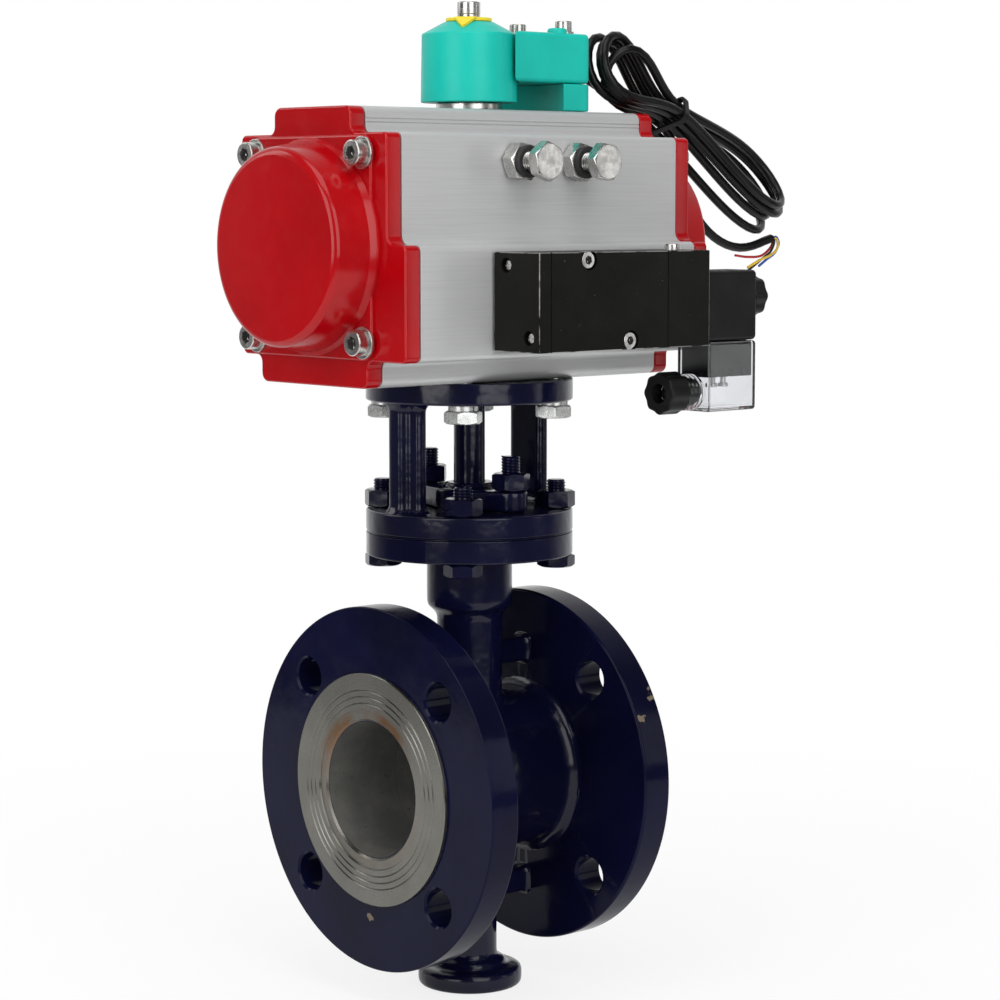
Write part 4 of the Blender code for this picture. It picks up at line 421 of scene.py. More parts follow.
bore_line = [(0, -69), (BORE_R, -69), (BORE_R, -22), (POCKET_R, -22), (POCKET_R, 58), (0, 58)]
stem_line = [(0, 128), (13, 128), (13, 97.9), (10.8, 97.9), (10.8, 60.3), (STEM_HOLE_R, 60.3),
             (STEM_HOLE_R, -65.1), (10.8, -65.1), (10.8, -102.7), (16.3, -102.7), (16.3, -113), (0, -113)]
hole_line = [(0, -68), (HOLE_MOUTH_R, -68), (HOLE_MOUTH_R, INLET_RIM), (HOLE_R, INLET_RIM + HOLE_EDGE),
             (HOLE_R, INLET_BACK - HOLE_EDGE), (HOLE_BACK_R, INLET_BACK), (HOLE_BACK_R, OUTLET_BACK),
             (HOLE_R, OUTLET_BACK + HOLE_EDGE), (HOLE_R, OUTLET_RIM - HOLE_EDGE), (HOLE_MOUTH_R, OUTLET_RIM),
             (HOLE_MOUTH_R, 56), (0, 56)]
cut(valve_casting, lathe(bore_line, "X", sides=128), lathe(stem_line, sides=48),
    *[lathe(hole_line, "X", place, 48) for place in around(FLANGE_BOLT_R)],
    *[rod(M10_HOLE_R, 112, 128, "Z", place) for place in around(BONNET_BOLT_R)])
for face in valve_casting.data.polygons:
    if math.hypot(face.center.y, face.center.z) < (POCKET_R + 0.4) * MM:
        face.material_index = 1
    elif not INLET_BACK * MM < face.center.x < OUTLET_BACK * MM:
        face.material_index = 2
fitted(valve_casting, "valve", "navy_enamel", ["valve_body"], navy, bore_iron, flange_navy, sharp=30)

# Pipe faces
# The raised sealing faces of the two flanges, turned bare, with three fine grooves and a stepped mouth.
# Wiped rust has run round the mouth of the inlet.

TOOL_LINES_PER_METRE = 2600.0
machined = finish("turned_iron_face", (0.20, 0.197, 0.178), 0.28, 1.0, Anisotropic=0.85,
                  Anisotropic_Rotation=0.25)
ring_lines = node(machined, "Tangent", {}, direction_type="RADIAL", axis="X")
lead(machined, ring_lines.outputs[0], "Tangent")
face_place = node(machined, "TexCoord", {}).outputs["Object"]
flat_place = node(machined, "Mapping", {"Vector": face_place, "Scale": (0, 1, 1)})
from_axis = node(machined, "VectorMath", {0: flat_place.outputs[0]}, operation="LENGTH").outputs["Value"]
turning = math_node(machined, "MULTIPLY", from_axis, TOOL_LINES_PER_METRE)
tool_lines = node(machined, "TexNoise", {"W": turning, "Scale": 1.0, "Detail": 2.0},
                  noise_dimensions="1D").outputs[0]
scuff(machined, tool_lines, 0.22, 0.34)
relief(machined, tool_lines, 0.012)
mottle(machined, 26, (0.14, 0.137, 0.12), 0.45, 0.70, share=0.5)
near_mouth = between(machined, from_axis, 0.0425, 0.0385)
blotches = between(machined, spots(machined, 22, 4.0), 0.36, 0.62, 0.0, 0.9)
face_height = node(machined, "SeparateXYZ", {"Vector": face_place}).outputs["Z"]
upper = between(machined, face_height, 0.0, 0.03, 0.15, 1.0)
rusty = math_node(machined, "MULTIPLY", math_node(machined, "MULTIPLY", near_mouth, blotches), upper)
overlay(machined, rusty, (0.19, 0.085, 0.028))
mottle(machined, 3.5, (0.20, 0.16, 0.12), 0.70, 0.73, 4.0)

FACE_DEPTH, FACE_EDGE, GROOVE_HALF, MOUTH_R = 0.9, 0.4, 0.45, BORE_R + 0.1


def pipe_face(name, sign, rim, top):
    """A turned face: its outer step, three grooves, and the step down to the bore."""
    profile = [(MOUTH_R, rim - FACE_DEPTH), (RAISED_R, rim - FACE_DEPTH), (RAISED_R, top - FACE_EDGE),
               (RAISED_R - FACE_EDGE, top)]
    for groove in (50.4, 47.2, 43.9):
        profile += [(groove + GROOVE_HALF, top), (groove, top - GROOVE_HALF), (groove - GROOVE_HALF, top)]
    profile += [(40.7, top), (40.2, top - 0.8), (35.9, top - 0.8), (MOUTH_R, top - 2.2)]
    face_ring = lathe([(radius, sign * height) for radius, height in profile], "X", sides=192, loop=True)
    fitted(shaped(name, face_ring), "valve", "zinc_steel", [], machined, sharp=20)


pipe_face("inlet_pipe_face", -1, -INLET_RIM, -INLET_FACE)
pipe_face("outlet_pipe_face", 1, OUTLET_RIM, OUTLET_FACE)

# Seat liner, bushes and bottom plug
# A stainless sleeve pressed in from the outlet, gone as dull as the bore, two bronze bushes round the stem,
# and a slotted steel plug screwed into the foot below them.

stainless = finish("stainless_steel", (0.64, 0.632, 0.61), 0.24, 1.0)
mottle(stainless, 9, (0.48, 0.474, 0.455), 0.45, 0.65)
scuff(stainless, spots(stainless, 3.0, 4.0), 0.18, 0.36)
grain(stainless, 0.9, 0.006, 2.0)

LINER_LOW, LINER_HIGH, LINER_EDGE = span("seat_liner", "X")[0], 55.3, 0.3
LINER_R = span("seat_liner", "Y")[1]
liner_line = [(BORE_R, LINER_LOW), (LINER_R, LINER_LOW), (LINER_R, LINER_HIGH - LINER_EDGE),
              (LINER_R - LINER_EDGE, LINER_HIGH), (BORE_R + LINER_EDGE, LINER_HIGH),
              (BORE_R, LINER_HIGH - LINER_EDGE)]
seat_sleeve = shaped("seat_sleeve", lathe(liner_line, "X", sides=128, loop=True))
cut(seat_sleeve, rod(STEM_HOLE_R, -38, 38))
fitted(seat_sleeve, "valve", "stainless_steel", ["seat_liner"], bore_iron)

bronze = finish("bearing_bronze", (0.45, 0.29, 0.11), 0.36, 1.0)
mottle(bronze, 5, (0.30, 0.18, 0.07), 0.45, 0.65)
scuff(bronze, 2, 0.28, 0.48)


def dress(material, *names):
    """Gives a finish to CAD pieces whose own shape is right."""
    for name in names:
        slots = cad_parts[name].data.materials
        slots.clear()
        slots.append(material)


dress(bronze, "upper_bush", "lower_bush")

zinc = finish("zinc_plated_steel", (0.72, 0.73, 0.72), 0.26, 0.62)
overlay(zinc, between(zinc, spots(zinc, 6, warp=1.0), 0.42, 0.64), (0.58, 0.59, 0.58))
mottle(zinc, 2.0, (0.30, 0.29, 0.27), 0.66, 0.74, 4.0)
scuff(zinc, 2.5, 0.20, 0.38)
grain(zinc, 1.1, 0.010)

PLUG_LOW, PLUG_TOP = span("bottom_plug", "Z")
SLOT_HALF_W, SLOT_DEPTH = 2, 3
foot_plug = shaped("foot_plug", rod(16, PLUG_LOW, PLUG_TOP, edge=0.6, sides=64))
plug_slot = frame_of(-20, -SLOT_HALF_W, 20, SLOT_HALF_W, 0.4)
cut(foot_plug, slab(plug_slot, "Z", PLUG_LOW - 1, PLUG_LOW + SLOT_DEPTH))
fitted(foot_plug, "valve", "zinc_steel", ["bottom_plug"], zinc)

# Disc and stem
# A cast stainless butterfly disc, thick at its hub and thin at its rim, pinned to the ground stem.
# The stem was painted over with the yoke, and carries the actuator's pinion on its square.

cast_stainless = finish("cast_stainless", (0.30, 0.295, 0.28), 0.42, 1.0)
mottle(cast_stainless, 16, (0.20, 0.195, 0.18), detail=4.0)
scuff(cast_stainless, 4, 0.34, 0.55)
grain(cast_stainless, 2.2, 0.04, 4.0)


def middle(name, axis):
    """The middle of a CAD piece's reach along an axis."""
    return round(sum(span(name, axis)) / 2, 3)


DISC_R = span("disc", "Y")[1]
PIN_HOLE_R = 3.3
PIN_HEIGHTS = (middle("disc_pin_lower", "Z"), middle("disc_pin_upper", "Z"))
disc_half = rounded([(0, 7.0, 0), (20, 5.6, 6), (31.5, 1.9, 3), (DISC_R, 1.5, 0.4)], closed=False)
disc_profile = disc_half + [(radius, -height) for radius, height in reversed(disc_half)]
valve_disc = shaped("valve_disc", lathe(disc_profile, "X", sides=128))
joined(valve_disc, rod(13, -31, 31, edge=1.5, sides=64))
cut(valve_disc, rod(8.3, -40, 40), *[rod(PIN_HOLE_R, -30, 30, "X", (0, z)) for z in PIN_HEIGHTS])
fitted(valve_disc, "rotor", "stainless_steel", ["disc"], cast_stainless, sharp=30)
dress(zinc, "disc_pin_lower", "disc_pin_upper")

STEM_LOW, STEM_TOP = span("stem", "Z")
STEM_R, SHOULDER_Z, PAINTED_FROM, SQUARE_HALF = span("stem", "Y")[1], 195.5, 150, 5.5
shaft_line = [(0, STEM_LOW, 0), (STEM_R, STEM_LOW, EDGE), (STEM_R, PAINTED_FROM, 0),
              (STEM_R, SHOULDER_Z, EDGE), (0, SHOULDER_Z, 0)]
painted_stem = shaped("painted_stem", turned(shaft_line, sides=64))
square = frame_of(-SQUARE_HALF, -SQUARE_HALF, SQUARE_HALF, SQUARE_HALF, 0.5)
joined(painted_stem, slab(square, "Z", 190, STEM_TOP, EDGE))
cut(painted_stem, *[rod(PIN_HOLE_R, -12, 12, "X", (0, z)) for z in PIN_HEIGHTS])
for face in painted_stem.data.polygons:
    face.material_index = int(face.center.z > PAINTED_FROM * MM)
fitted(painted_stem, "rotor", "stainless_steel", ["stem"], stainless, navy)

# Bonnet gasket, packing and gland
# Graphite rings pressed round the stem by a cast two-lug follower, drawn down by two studs and nuts.
# Gasket edge, follower, studs and nuts are painted with the body.

graphite = finish("graphite_packing", (0.035, 0.035, 0.038), 0.55)
mottle(graphite, 1.5, (0.06, 0.06, 0.064), 0.45, 0.65, 4.0)
scuff(graphite, 2, 0.42, 0.66)
dress(graphite, "packing_rings")

GASKET_LOW, GASKET_HIGH = span("bonnet_gasket", "Z")
GASKET_HOLE_R, GASKET_R = 14, 52.4


def collar(inner, outer, low, high, sides, low_edge=0, high_edge=0, steps=3, axis="Z", centre=(0, 0)):
    """A turned ring of a rectangular section, its two outer edges rounded."""
    corners = [(inner, low, 0), (outer, low, low_edge), (outer, high, high_edge), (inner, high, 0)]
    return lathe(rounded(corners, steps), axis, centre, sides, loop=True)


painted_gasket = shaped("painted_gasket", collar(GASKET_HOLE_R, GASKET_R, GASKET_LOW, GASKET_HIGH, 128))
cut(painted_gasket, *[rod(5.4, GASKET_LOW - PAST, GASKET_HIGH + PAST, "Z", place)
                      for place in around(BONNET_BOLT_R)])
fitted(painted_gasket, "valve", "graphite", ["bonnet_gasket"], navy)

GLAND_TOP = span("gland_follower", "Z")[1]
GLAND_LOW, PLATE_LOW, PLATE_TOP = 123.8, 138.9, 149.3
GLAND_HUB_R, LUG_R, STUD_Y = span("gland_follower", "X")[1], 8.5, 32
LUG_LEAN = math.degrees(math.acos((GLAND_HUB_R - LUG_R) / STUD_Y))


def arc(b, radius, start, end, steps):
    """Points on an arc about a place on the second axis, its angles in degrees."""
    angles = [math.radians(start + (end - start) * i / steps) for i in range(steps + 1)]
    return [polar(radius, angle, 0, b) for angle in angles]


gland_outline = (arc(0, GLAND_HUB_R, LUG_LEAN - 90, 90 - LUG_LEAN, 10)
                 + arc(STUD_Y, LUG_R, 90 - LUG_LEAN, 90 + LUG_LEAN, 16)
                 + arc(0, GLAND_HUB_R, 90 + LUG_LEAN, 270 - LUG_LEAN, 10)
                 + arc(-STUD_Y, LUG_R, 270 - LUG_LEAN, 270 + LUG_LEAN, 16))
studs = ((0, -STUD_Y), (0, STUD_Y))
gland_plate = cast(shaped("gland_plate", slab(gland_outline, "Z", PLATE_LOW, PLATE_TOP, SOFT_EDGE),
                          rod(12.5, 147, GLAND_TOP, edge=EDGE)), 0.8, 4)
joined(gland_plate, rod(12.7, GLAND_LOW, 140.5))
cut(gland_plate, rod(STEM_HOLE_R, 120, 155), *[rod(M10_HOLE_R, 136, 152, "Z", place) for place in studs])
fitted(gland_plate, "valve", "navy_enamel", ["gland_follower"], navy)


HEXAGON_POINTS = 48


def hexagon(flats, low, high, bore=0.0, chamfer=0.95):
    """A hexagonal nut or head along Z, its corners turned off at both ends."""
    circle = flats / 2 * chamfer
    rings = [[] for _ in range(6)]
    for angle in full_turn(HEXAGON_POINTS):
        reach = flats / 2 / math.cos((angle + math.pi / 6) % (math.pi / 3) - math.pi / 6)
        drop = (reach - circle) * math.tan(math.radians(30))
        levels = ((bore, low), (circle, low), (reach, low + drop), (reach, high - drop), (circle, high),
                  (bore, high))
        for each, (radius, height) in zip(rings, levels):
            each.append((*polar(radius, angle), height))
    return skin(rings, loop=True) if bore else skin(rings[1:5])


THREAD_SIZES = ("Thread Radius", "Thread Pitch", "Thread Depth", "Thread Start", "Thread Length")


def thread_tree():
    """Geometry Nodes: one fastener set on every point, with a helical thread of named sizes."""
    tree = bpy.data.node_groups.new("fastener_set", "GeometryNodeTree")
    sockets = [("Geometry", "Geometry"), ("Fastener", "Object")]
    sockets += [(label, "Float") for label in THREAD_SIZES] + [("Finish", "Material")]
    for label, kind in sockets:
        tree.interface.new_socket(label, in_out="INPUT", socket_type="NodeSocket" + kind)
    tree.interface.new_socket("Geometry", in_out="OUTPUT", socket_type="NodeSocketGeometry")

    def add(kind, inputs, **settings):
        return wired(tree, kind, inputs, settings)

    given = add("NodeGroupInput", {}).outputs
    single = add("GeometryNodeObjectInfo", {"Object": given["Fastener"]})
    turns = add("ShaderNodeMath", {0: given["Thread Length"], 1: given["Thread Pitch"]}, operation="DIVIDE")
    helix = add("GeometryNodeCurveSpiral", {
        "Resolution": 20, "Rotations": turns.outputs[0], "Start Radius": given["Thread Radius"],
        "End Radius": given["Thread Radius"], "Height": given["Thread Length"]})
    upright = add("GeometryNodeSetCurveNormal", {"Curve": helix.outputs[0]}, mode="Z_UP")
    ridge = add("GeometryNodeCurvePrimitiveCircle", {"Resolution": 4, "Radius": given["Thread Depth"]})
    thread = add("GeometryNodeCurveToMesh", {"Curve": upright.outputs[0], "Profile Curve": ridge.outputs[0],
                                             "Fill Caps": True})
    lift = add("ShaderNodeCombineXYZ", {"Z": given["Thread Start"]})
    raised = add("GeometryNodeTransform", {"Geometry": thread.outputs[0], "Translation": lift.outputs[0]})
    whole = add("GeometryNodeJoinGeometry", {})
    for part in (raised.outputs[0], single.outputs["Geometry"]):
        tree.links.new(part, whole.inputs[0])
    turn = add("GeometryNodeInputNamedAttribute", {"Name": "turn"}, data_type="FLOAT_VECTOR")
    placed = add("GeometryNodeInstanceOnPoints", {"Points": given["Geometry"], "Instance": whole.outputs[0],
                                                  "Rotation": turn.outputs[0]})
    real = add("GeometryNodeRealizeInstances", {"Geometry": placed.outputs[0]})
    painted = add("GeometryNodeSetMaterial", {"Geometry": real.outputs[0], "Material": given["Finish"]})
    add("NodeGroupOutput", {0: painted.outputs[0]})
    return tree


FASTENERS = thread_tree()
NO_THREAD = (1.0, 1.0, 0.2, 0.0, 0.0)


def fasteners(name, pattern, places, slot, material, nodes=(), thread=NO_THREAD, body="valve"):
    """Like fasteners in one piece. A place is (location, direction, spin in degrees) for local Z, and the
    thread is its middle radius, pitch, depth, start and length."""
    mesh = bpy.data.meshes.new(name)
    mesh.from_pydata([Vector(place) * MM for place, _, _ in places], [], [])
    turn = mesh.attributes.new("turn", "FLOAT_VECTOR", "POINT")
    for i, (_, direction, spin) in enumerate(places):
        spun = Matrix.Rotation(math.radians(spin), 3, "Z")
        turn.data[i].vector = (Vector(direction).to_track_quat("Z", "Y").to_matrix() @ spun).to_euler()
    item = linked(name, mesh)
    change = item.modifiers.new("set", "NODES")
    change.node_group = FASTENERS
    values = {label: size * MM for label, size in zip(THREAD_SIZES, thread)}
    values.update({"Fastener": pattern, "Finish": material})
    for socket in FASTENERS.interface.items_tree:
        if socket.name in values:
            change[socket.identifier] = values[socket.name]
    settled(item)
    bpy.data.objects.remove(pattern, do_unlink=True)
    return fitted(item, body, slot, nodes, material)


UP, DOWN, FRONT = (0, 0, 1), (0, 0, -1), (0, -1, 0)
M10_FLATS, HEAD_T, NUT_T, SHANK_R, PITCH, RIDGE = 17, 6.4, 8.8, 4.4, 1.5, 0.5


def upright(places, height, spins):
    """Places for fasteners that stand at one height, each turned by its own spin."""
    return [((*place, height), UP, spin) for place, spin in zip(places, spins)]


stud = shaped("stud", rod(SHANK_R, -18.3, 17.4, edge=EDGE, sides=24), hexagon(M10_FLATS, 0, NUT_T))
fasteners("gland_studs", stud, upright(studs, 149.6, (0, 14)), "zinc_steel", navy,
          ["gland_stud_near", "gland_stud_far"], (4.5, PITCH, RIDGE, 8.0, 9.2))

# Yoke and its bolts
# A cast bracket of two round plates on two ribbed columns, bolted to the bonnet by four painted bolts.
# Four bright zinc bolts with spring washers hold the actuator up from below.

YOKE_LOW, YOKE_TOP = span("yoke", "Z")
YOKE_BOLT_R = 43
COLUMN_IN, COLUMN_OUT, COLUMN_RIB, COLUMN_HALF_W, RIB_W, COLUMN_EDGE = 37.5, 44.5, 50.5, 12, 5, 2.5
COLUMN_SWEEP = ((2.2, 137.5), (2.2, 138.6), (0.8, 140), (0, 142), (0, 190.6), (0.8, 192.6), (2.2, 194),
                (2.2, 195))
half_column = [(COLUMN_IN, COLUMN_HALF_W), (COLUMN_OUT, COLUMN_HALF_W), (COLUMN_OUT, RIB_W),
               (COLUMN_RIB, RIB_W)]
column_shells = []
for side in (-1, 1):
    corners = [(side * a, -b, COLUMN_EDGE) for a, b in half_column]
    corners += [(side * a, b, COLUMN_EDGE) for a, b in reversed(half_column)]
    section = rounded(corners)
    column_shells.append(skin([[(a, b, z) for a, b in grown(section, by)] for by, z in COLUMN_SWEEP]))
yoke_casting = cast(shaped("yoke_casting", plate_disc(51.6, 132, 138.4), plate_disc(51.6, 194.2, 200),
                           *column_shells), 1.1, 5)
joined(yoke_casting, plate_disc(BONNET_R, YOKE_LOW, 138.6, "Z", THIN_EDGE, 1.2),
       plate_disc(BONNET_R, 194, YOKE_TOP, "Z", 1.2, 0.6))
cut(yoke_casting, rod(13, 126, 141), rod(17, 191, 207, sides=64),
    *[rod(M10_HOLE_R, 126, 141, "Z", place) for place in (*around(BONNET_BOLT_R), *studs)],
    *[rod(M10_HOLE_R, 191, 207, "Z", place) for place in around(YOKE_BOLT_R)])
fitted(yoke_casting, "valve", "navy_enamel", ["yoke"], navy, sharp=30)

bonnet_seat = span("bonnet_bolt_1", "Z")[0] + HEAD_T
bolt = shaped("bolt", hexagon(M10_FLATS, -HEAD_T, 0), rod(SHANK_R, -0.5, 38.5, edge=EDGE, sides=24),
              hexagon(M10_FLATS, 24.2, 24.2 + NUT_T))
bolt_places = upright(around(BONNET_BOLT_R), bonnet_seat, (20, 33, 47, 55))
fasteners("bonnet_bolts", bolt, bolt_places, "navy_enamel", navy, [f"bonnet_bolt_{i}" for i in range(1, 5)],
          (4.5, PITCH, RIDGE, 32.5, 5.4))

WASHER_HOLE_R, WASHER_R, WASHER_LOW, WASHER_TOP = 5.2, 7.5, 0.2, 2.6
yoke_seat = span("yoke_bolt_1", "Z")[0] + HEAD_T
bolt = shaped("bolt", collar(WASHER_HOLE_R, WASHER_R, WASHER_LOW, WASHER_TOP, 40))
cut(bolt, slab(frame_of(-0.5, 3, 0.5, 9, 0.1), "Z", -1, 4))
joined(bolt, rod(5.0, -1, 27, edge=EDGE, sides=24))
joined(bolt, hexagon(M10_FLATS, -HEAD_T, 0))
bolt_places = upright(around(YOKE_BOLT_R), yoke_seat, (38, 12, 3, 25))
fasteners("yoke_bolts", bolt, bolt_places, "zinc_steel", zinc, [f"yoke_bolt_{i}" for i in range(1, 5)])

# Actuator body
# An aluminium extrusion, sawn to length, clear anodised over brushed lines that run along it.
# It is bored for the pistons and drilled for the pinion, the stops and the air ports.

aluminium = finish("anodised_aluminium", (0.53, 0.532, 0.535), 0.46, 0.45)
brush = spots(aluminium, 0.8, 2.0, stretch=(0.02, 1, 1))
overlay(aluminium, between(aluminium, brush, 0.42, 0.66, 0.0, 0.5), (0.47, 0.472, 0.475))
cloud = spots(aluminium, 55, stretch=(0.25, 1, 1))
overlay(aluminium, between(aluminium, cloud, 0.45, 0.62, 0.0, 0.5), (0.485, 0.487, 0.49))
scuff(aluminium, brush, 0.40, 0.52)
grain(aluminium, 0.7, 0.006)

CASE_LOW, CASE_TOP = span("actuator_body", "Z")
CASE_FRONT, CASE_BACK = span("actuator_body", "Y")
FOOT_Y, FOOT_TOP, RAIL_Y, RAIL_LOW, PAD_TOP = 42, 218.7, 30, 327, 274
RAIL_LINES, LINE_HALF = (332.2, 334.0), 0.4
AXIS_Z, STOP_Z = 272.5, middle("stop_bolt_open", "Z")
STOPS = {end: middle(f"stop_bolt_{end}", "X") for end in ("open", "closed")}
PORT_XS, PORT_R = (-12, 12), 3
VALVE_Y, VALVE_Z = middle("plunger", "Y"), middle("plunger", "Z")


def actuator_section(grooves):
    """The extrusion's outline in Y and Z, with or without the scribed lines on its top rail."""
    right = [(-FOOT_Y, CASE_LOW, 4.5), (FOOT_Y, CASE_LOW, 4.5), (FOOT_Y, FOOT_TOP, 4),
             (CASE_BACK, FOOT_TOP, 3), (CASE_BACK, RAIL_LOW, 3), (RAIL_Y, RAIL_LOW, 4)]
    left = [(-RAIL_Y, RAIL_LOW, 4), (-CASE_BACK, RAIL_LOW, 3), (-CASE_BACK, PAD_TOP, 5),
            (CASE_FRONT, PAD_TOP, 3), (CASE_FRONT, FOOT_TOP, 3), (-FOOT_Y, FOOT_TOP, 4)]
    lines = []
    for z in grooves:
        lines += [(RAIL_Y, z - LINE_HALF, 0), (RAIL_Y - LINE_HALF, z, 0), (RAIL_Y, z + LINE_HALF, 0)]
    top = lines + [(RAIL_Y, CASE_TOP, 4.5), (-RAIL_Y, CASE_TOP, 4.5)]
    top += [(-y, z, 0) for y, z, _ in reversed(lines)]
    return rounded(right + top + left, 6)


case_shell = slab(actuator_section(RAIL_LINES), "X", *span("actuator_body", "X"), 0.3, 2)
actuator_case = shaped("actuator_case", case_shell)
pinion_line = [(0, 204), (17, 204), (17, 272), (25.5, 272), (25.5, 318.7), (14, 318.7), (14, 341), (0, 341)]
cut(actuator_case, rod(44, -92, 92, "X", (0, AXIS_Z), sides=96), lathe(pinion_line, sides=64),
    *[rod(M10_HOLE_R, -58, -8, "Y", (STOP_Z, x)) for x in STOPS.values()],
    *[rod(PORT_R, -72, -22, "Y", (VALVE_Z, x)) for x in PORT_XS],
    *[rod(M10_HOLE_R, 204, 220.4, "Z", place) for place in around(YOKE_BOLT_R)])
fitted(actuator_case, "valve", "anodised_aluminium", ["actuator_body"], aluminium, sharp=32)

# Pinion, pistons and springs inside the actuator
# The pinion turns the stem, two racked pistons turn the pinion, and two coil springs push them back.
# Pressed polymer bushes carry the pinion, and lip seals run round the pistons.

# Black rubber for seals and gaskets. The same finish is also laid on the floors of the screw sockets as
# painted shade.
rubber = finish("black_rubber", (0.014, 0.014, 0.014), 0.62)
mottle(rubber, 4, (0.022, 0.022, 0.021), 0.45, 0.65)
scuff(rubber, 2, 0.5, 0.75)
polymer = finish("black_polymer", (0.005, 0.005, 0.0055), 0.40, Specular_IOR_Level=0.22)
mottle(polymer, 20, (0.0085, 0.0085, 0.009))
scuff(polymer, 5, 0.36, 0.52)
grain(polymer, 0.7, 0.016, 2.0)
dress(zinc, "pinion")
dress(aluminium, "piston_inlet", "piston_outlet", "spool")
dress(stainless, "plunger")
dress(rubber, "piston_seal_inlet", "piston_seal_outlet", "valve_gasket")
dress(polymer, "pinion_bush_lower", "pinion_bush_upper")

spring_wire = finish("spring_steel", (0.16, 0.16, 0.17), 0.36, 1.0)
mottle(spring_wire, 4, (0.10, 0.10, 0.10), 0.45, 0.65)
scuff(spring_wire, 2, 0.28, 0.50)

COILS, COIL_POINTS, COIL_R, WIRE_R, SPRING_ENDS = 5, 32, 26.5, 2.5, (54.1, 118.2)
ENDS = (("inlet", -1), ("outlet", 1))


def tube(points, radius, sides=12):
    """A round tube through points, its ends closed."""
    rings = []
    side = None
    for i, here in enumerate(points):
        ahead = (Vector(points[min(i + 1, len(points) - 1)]) - Vector(points[max(i - 1, 0)])).normalized()
        side = ahead.orthogonal() if side is None else side - ahead * side.dot(ahead)
        side.normalize()
        up = ahead.cross(side)
        rings.append([tuple(Vector(here) + radius * (side * math.cos(a) + up * math.sin(a)))
                      for a in full_turn(sides)])
    return skin(rings)


for end, side in ENDS:
    helix = []
    for i in range(COILS * COIL_POINTS + 1):
        turn = 2 * math.pi * i / COIL_POINTS
        reach = SPRING_ENDS[0] + (SPRING_ENDS[1] - SPRING_ENDS[0]) * i / (COILS * COIL_POINTS)
        helix.append((side * reach, *polar(COIL_R, turn, 0, AXIS_Z)))
    spring = shaped(f"return_spring_{end}", tube(helix, WIRE_R))
    fitted(spring, "valve", "spring_steel", [f"spring_{end}"], spring_wire)
    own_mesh(spring)

# End caps and their screws
# Die-cast covers, crimson powder enamel, with a dome for the spring and a raised square pad.
# Four stainless socket screws on washers hold each one, sunk beside the dome.

crimson = finish("crimson_enamel", (0.34, 0.0012, 0.0036), 0.16, Specular_IOR_Level=0.32)
mottle(crimson, 45, (0.30, 0.0010, 0.0032))
scuff(crimson, 8, 0.11, 0.20)
grain(crimson, 15, 0.06, 1.0)
grain(crimson, 1.5, 0.010, 2.0)

CAP_FOOT, CAP_END = span("end_cap_outlet", "X")
CAP_PLATE, CAP_PAD, PAD_HALF_Y, PAD_HALF_Z = 100.5, 102.5, 47.5, 53.5
SCREW_Y, SCREW_Z, SCREW_SEAT, SCREW_SPINS = 42, 44.8, 104.0, (11, 37, 52, 25)
SHARP = 0.999
DOME_LINE = [(0, 98, 0), (52.5, 98, 0), (52.5, CAP_PAD, 0), (51.0, 105.5, 3), (47.5, 124.6, 4.5),
             (20, 125.2, 0), (0, CAP_END, 0)]
cap_corners = [(y, AXIS_Z + z) for y in (-SCREW_Y, SCREW_Y) for z in (-SCREW_Z, SCREW_Z)]


def broken(item, width, steps=2, angle=30, slot=-1):
    """Rounds the sharp edges of a cut piece. Their faces may take another of its finishes."""
    bevel = item.modifiers.new("edges", "BEVEL")
    bevel.width, bevel.segments, bevel.angle_limit = width * MM, steps, math.radians(angle)
    bevel.material = slot
    return settled(item)


def socket_screw(radius, height, edge, flats, floor, sides=40):
    """A socket head along Z, its hexagon sunk to a floor by a cutter that ends above the head."""
    head = [(0, 0, 0), (radius, 0, 0), (radius, height, edge), (0, height, 0)]
    cutter = hexagon(flats, floor, 1.5 * flats, chamfer=SHARP)
    return cut(shaped("screw", turned(head, sides=sides)), cutter)


def washer(radius, thick, top_edge, sides):
    """A plain washer under a socket head."""
    corners = [(0, -thick, 0), (radius, -thick, 0.2), (radius, -0.1, top_edge), (0, -0.1, 0)]
    return turned(corners, sides=sides)


def ordered(side, low, high):
    """Two places along X on one side, the lower one first."""
    return sorted((side * low, side * high))


for end, side in ENDS:
    plate = slab(actuator_section(()), "X", *ordered(side, CAP_FOOT, CAP_PLATE), 1.0)
    pad = frame_of(-PAD_HALF_Y, AXIS_Z - PAD_HALF_Z, PAD_HALF_Y, AXIS_Z + PAD_HALF_Z, 7)
    dome = [(radius, side * height) for radius, height in rounded(DOME_LINE, 8, closed=False)]
    cap = joined(shaped(f"cap_{end}", plate), slab(pad, "X", *ordered(side, 99, CAP_PAD), 1.2),
                 lathe(dome, "X", (0, AXIS_Z), 160))
    cut(cap, rod(42, *ordered(side, 90, 121.3), "X", (0, AXIS_Z), sides=64),
        *[rod(8.5, *ordered(side, CAP_PAD, 127), "X", corner, sides=40) for corner in cap_corners])
    broken(cap, 0.8, 3, 35)
    fitted(cap, "valve", "crimson_enamel", [f"end_cap_{end}"], crimson, sharp=42)

    places = [((side * SCREW_SEAT, *corner), (side, 0, 0), spin)
              for corner, spin in zip(cap_corners, SCREW_SPINS)]
    screw = joined(socket_screw(6.2, 6, 0.7, 6, 2.4, 48), washer(7.8, 1.6, 0.3, 48))
    fasteners(f"cap_screws_{end}", screw, places, "stainless_steel", stainless)
    # A thin black hexagon on the floor of each socket is painted shade that darkens the socket's depth.
    socket = shaped("socket", hexagon(5.96, 1.6, 2.6))
    fasteners(f"cap_sockets_{end}", socket, places, "black_rubber", rubber)

# Travel stops
# Two long stainless hexagon bolts that the pinion's cam meets at each end of its turn.
# A nut on each locks it against the extrusion, over a black sealing ring.

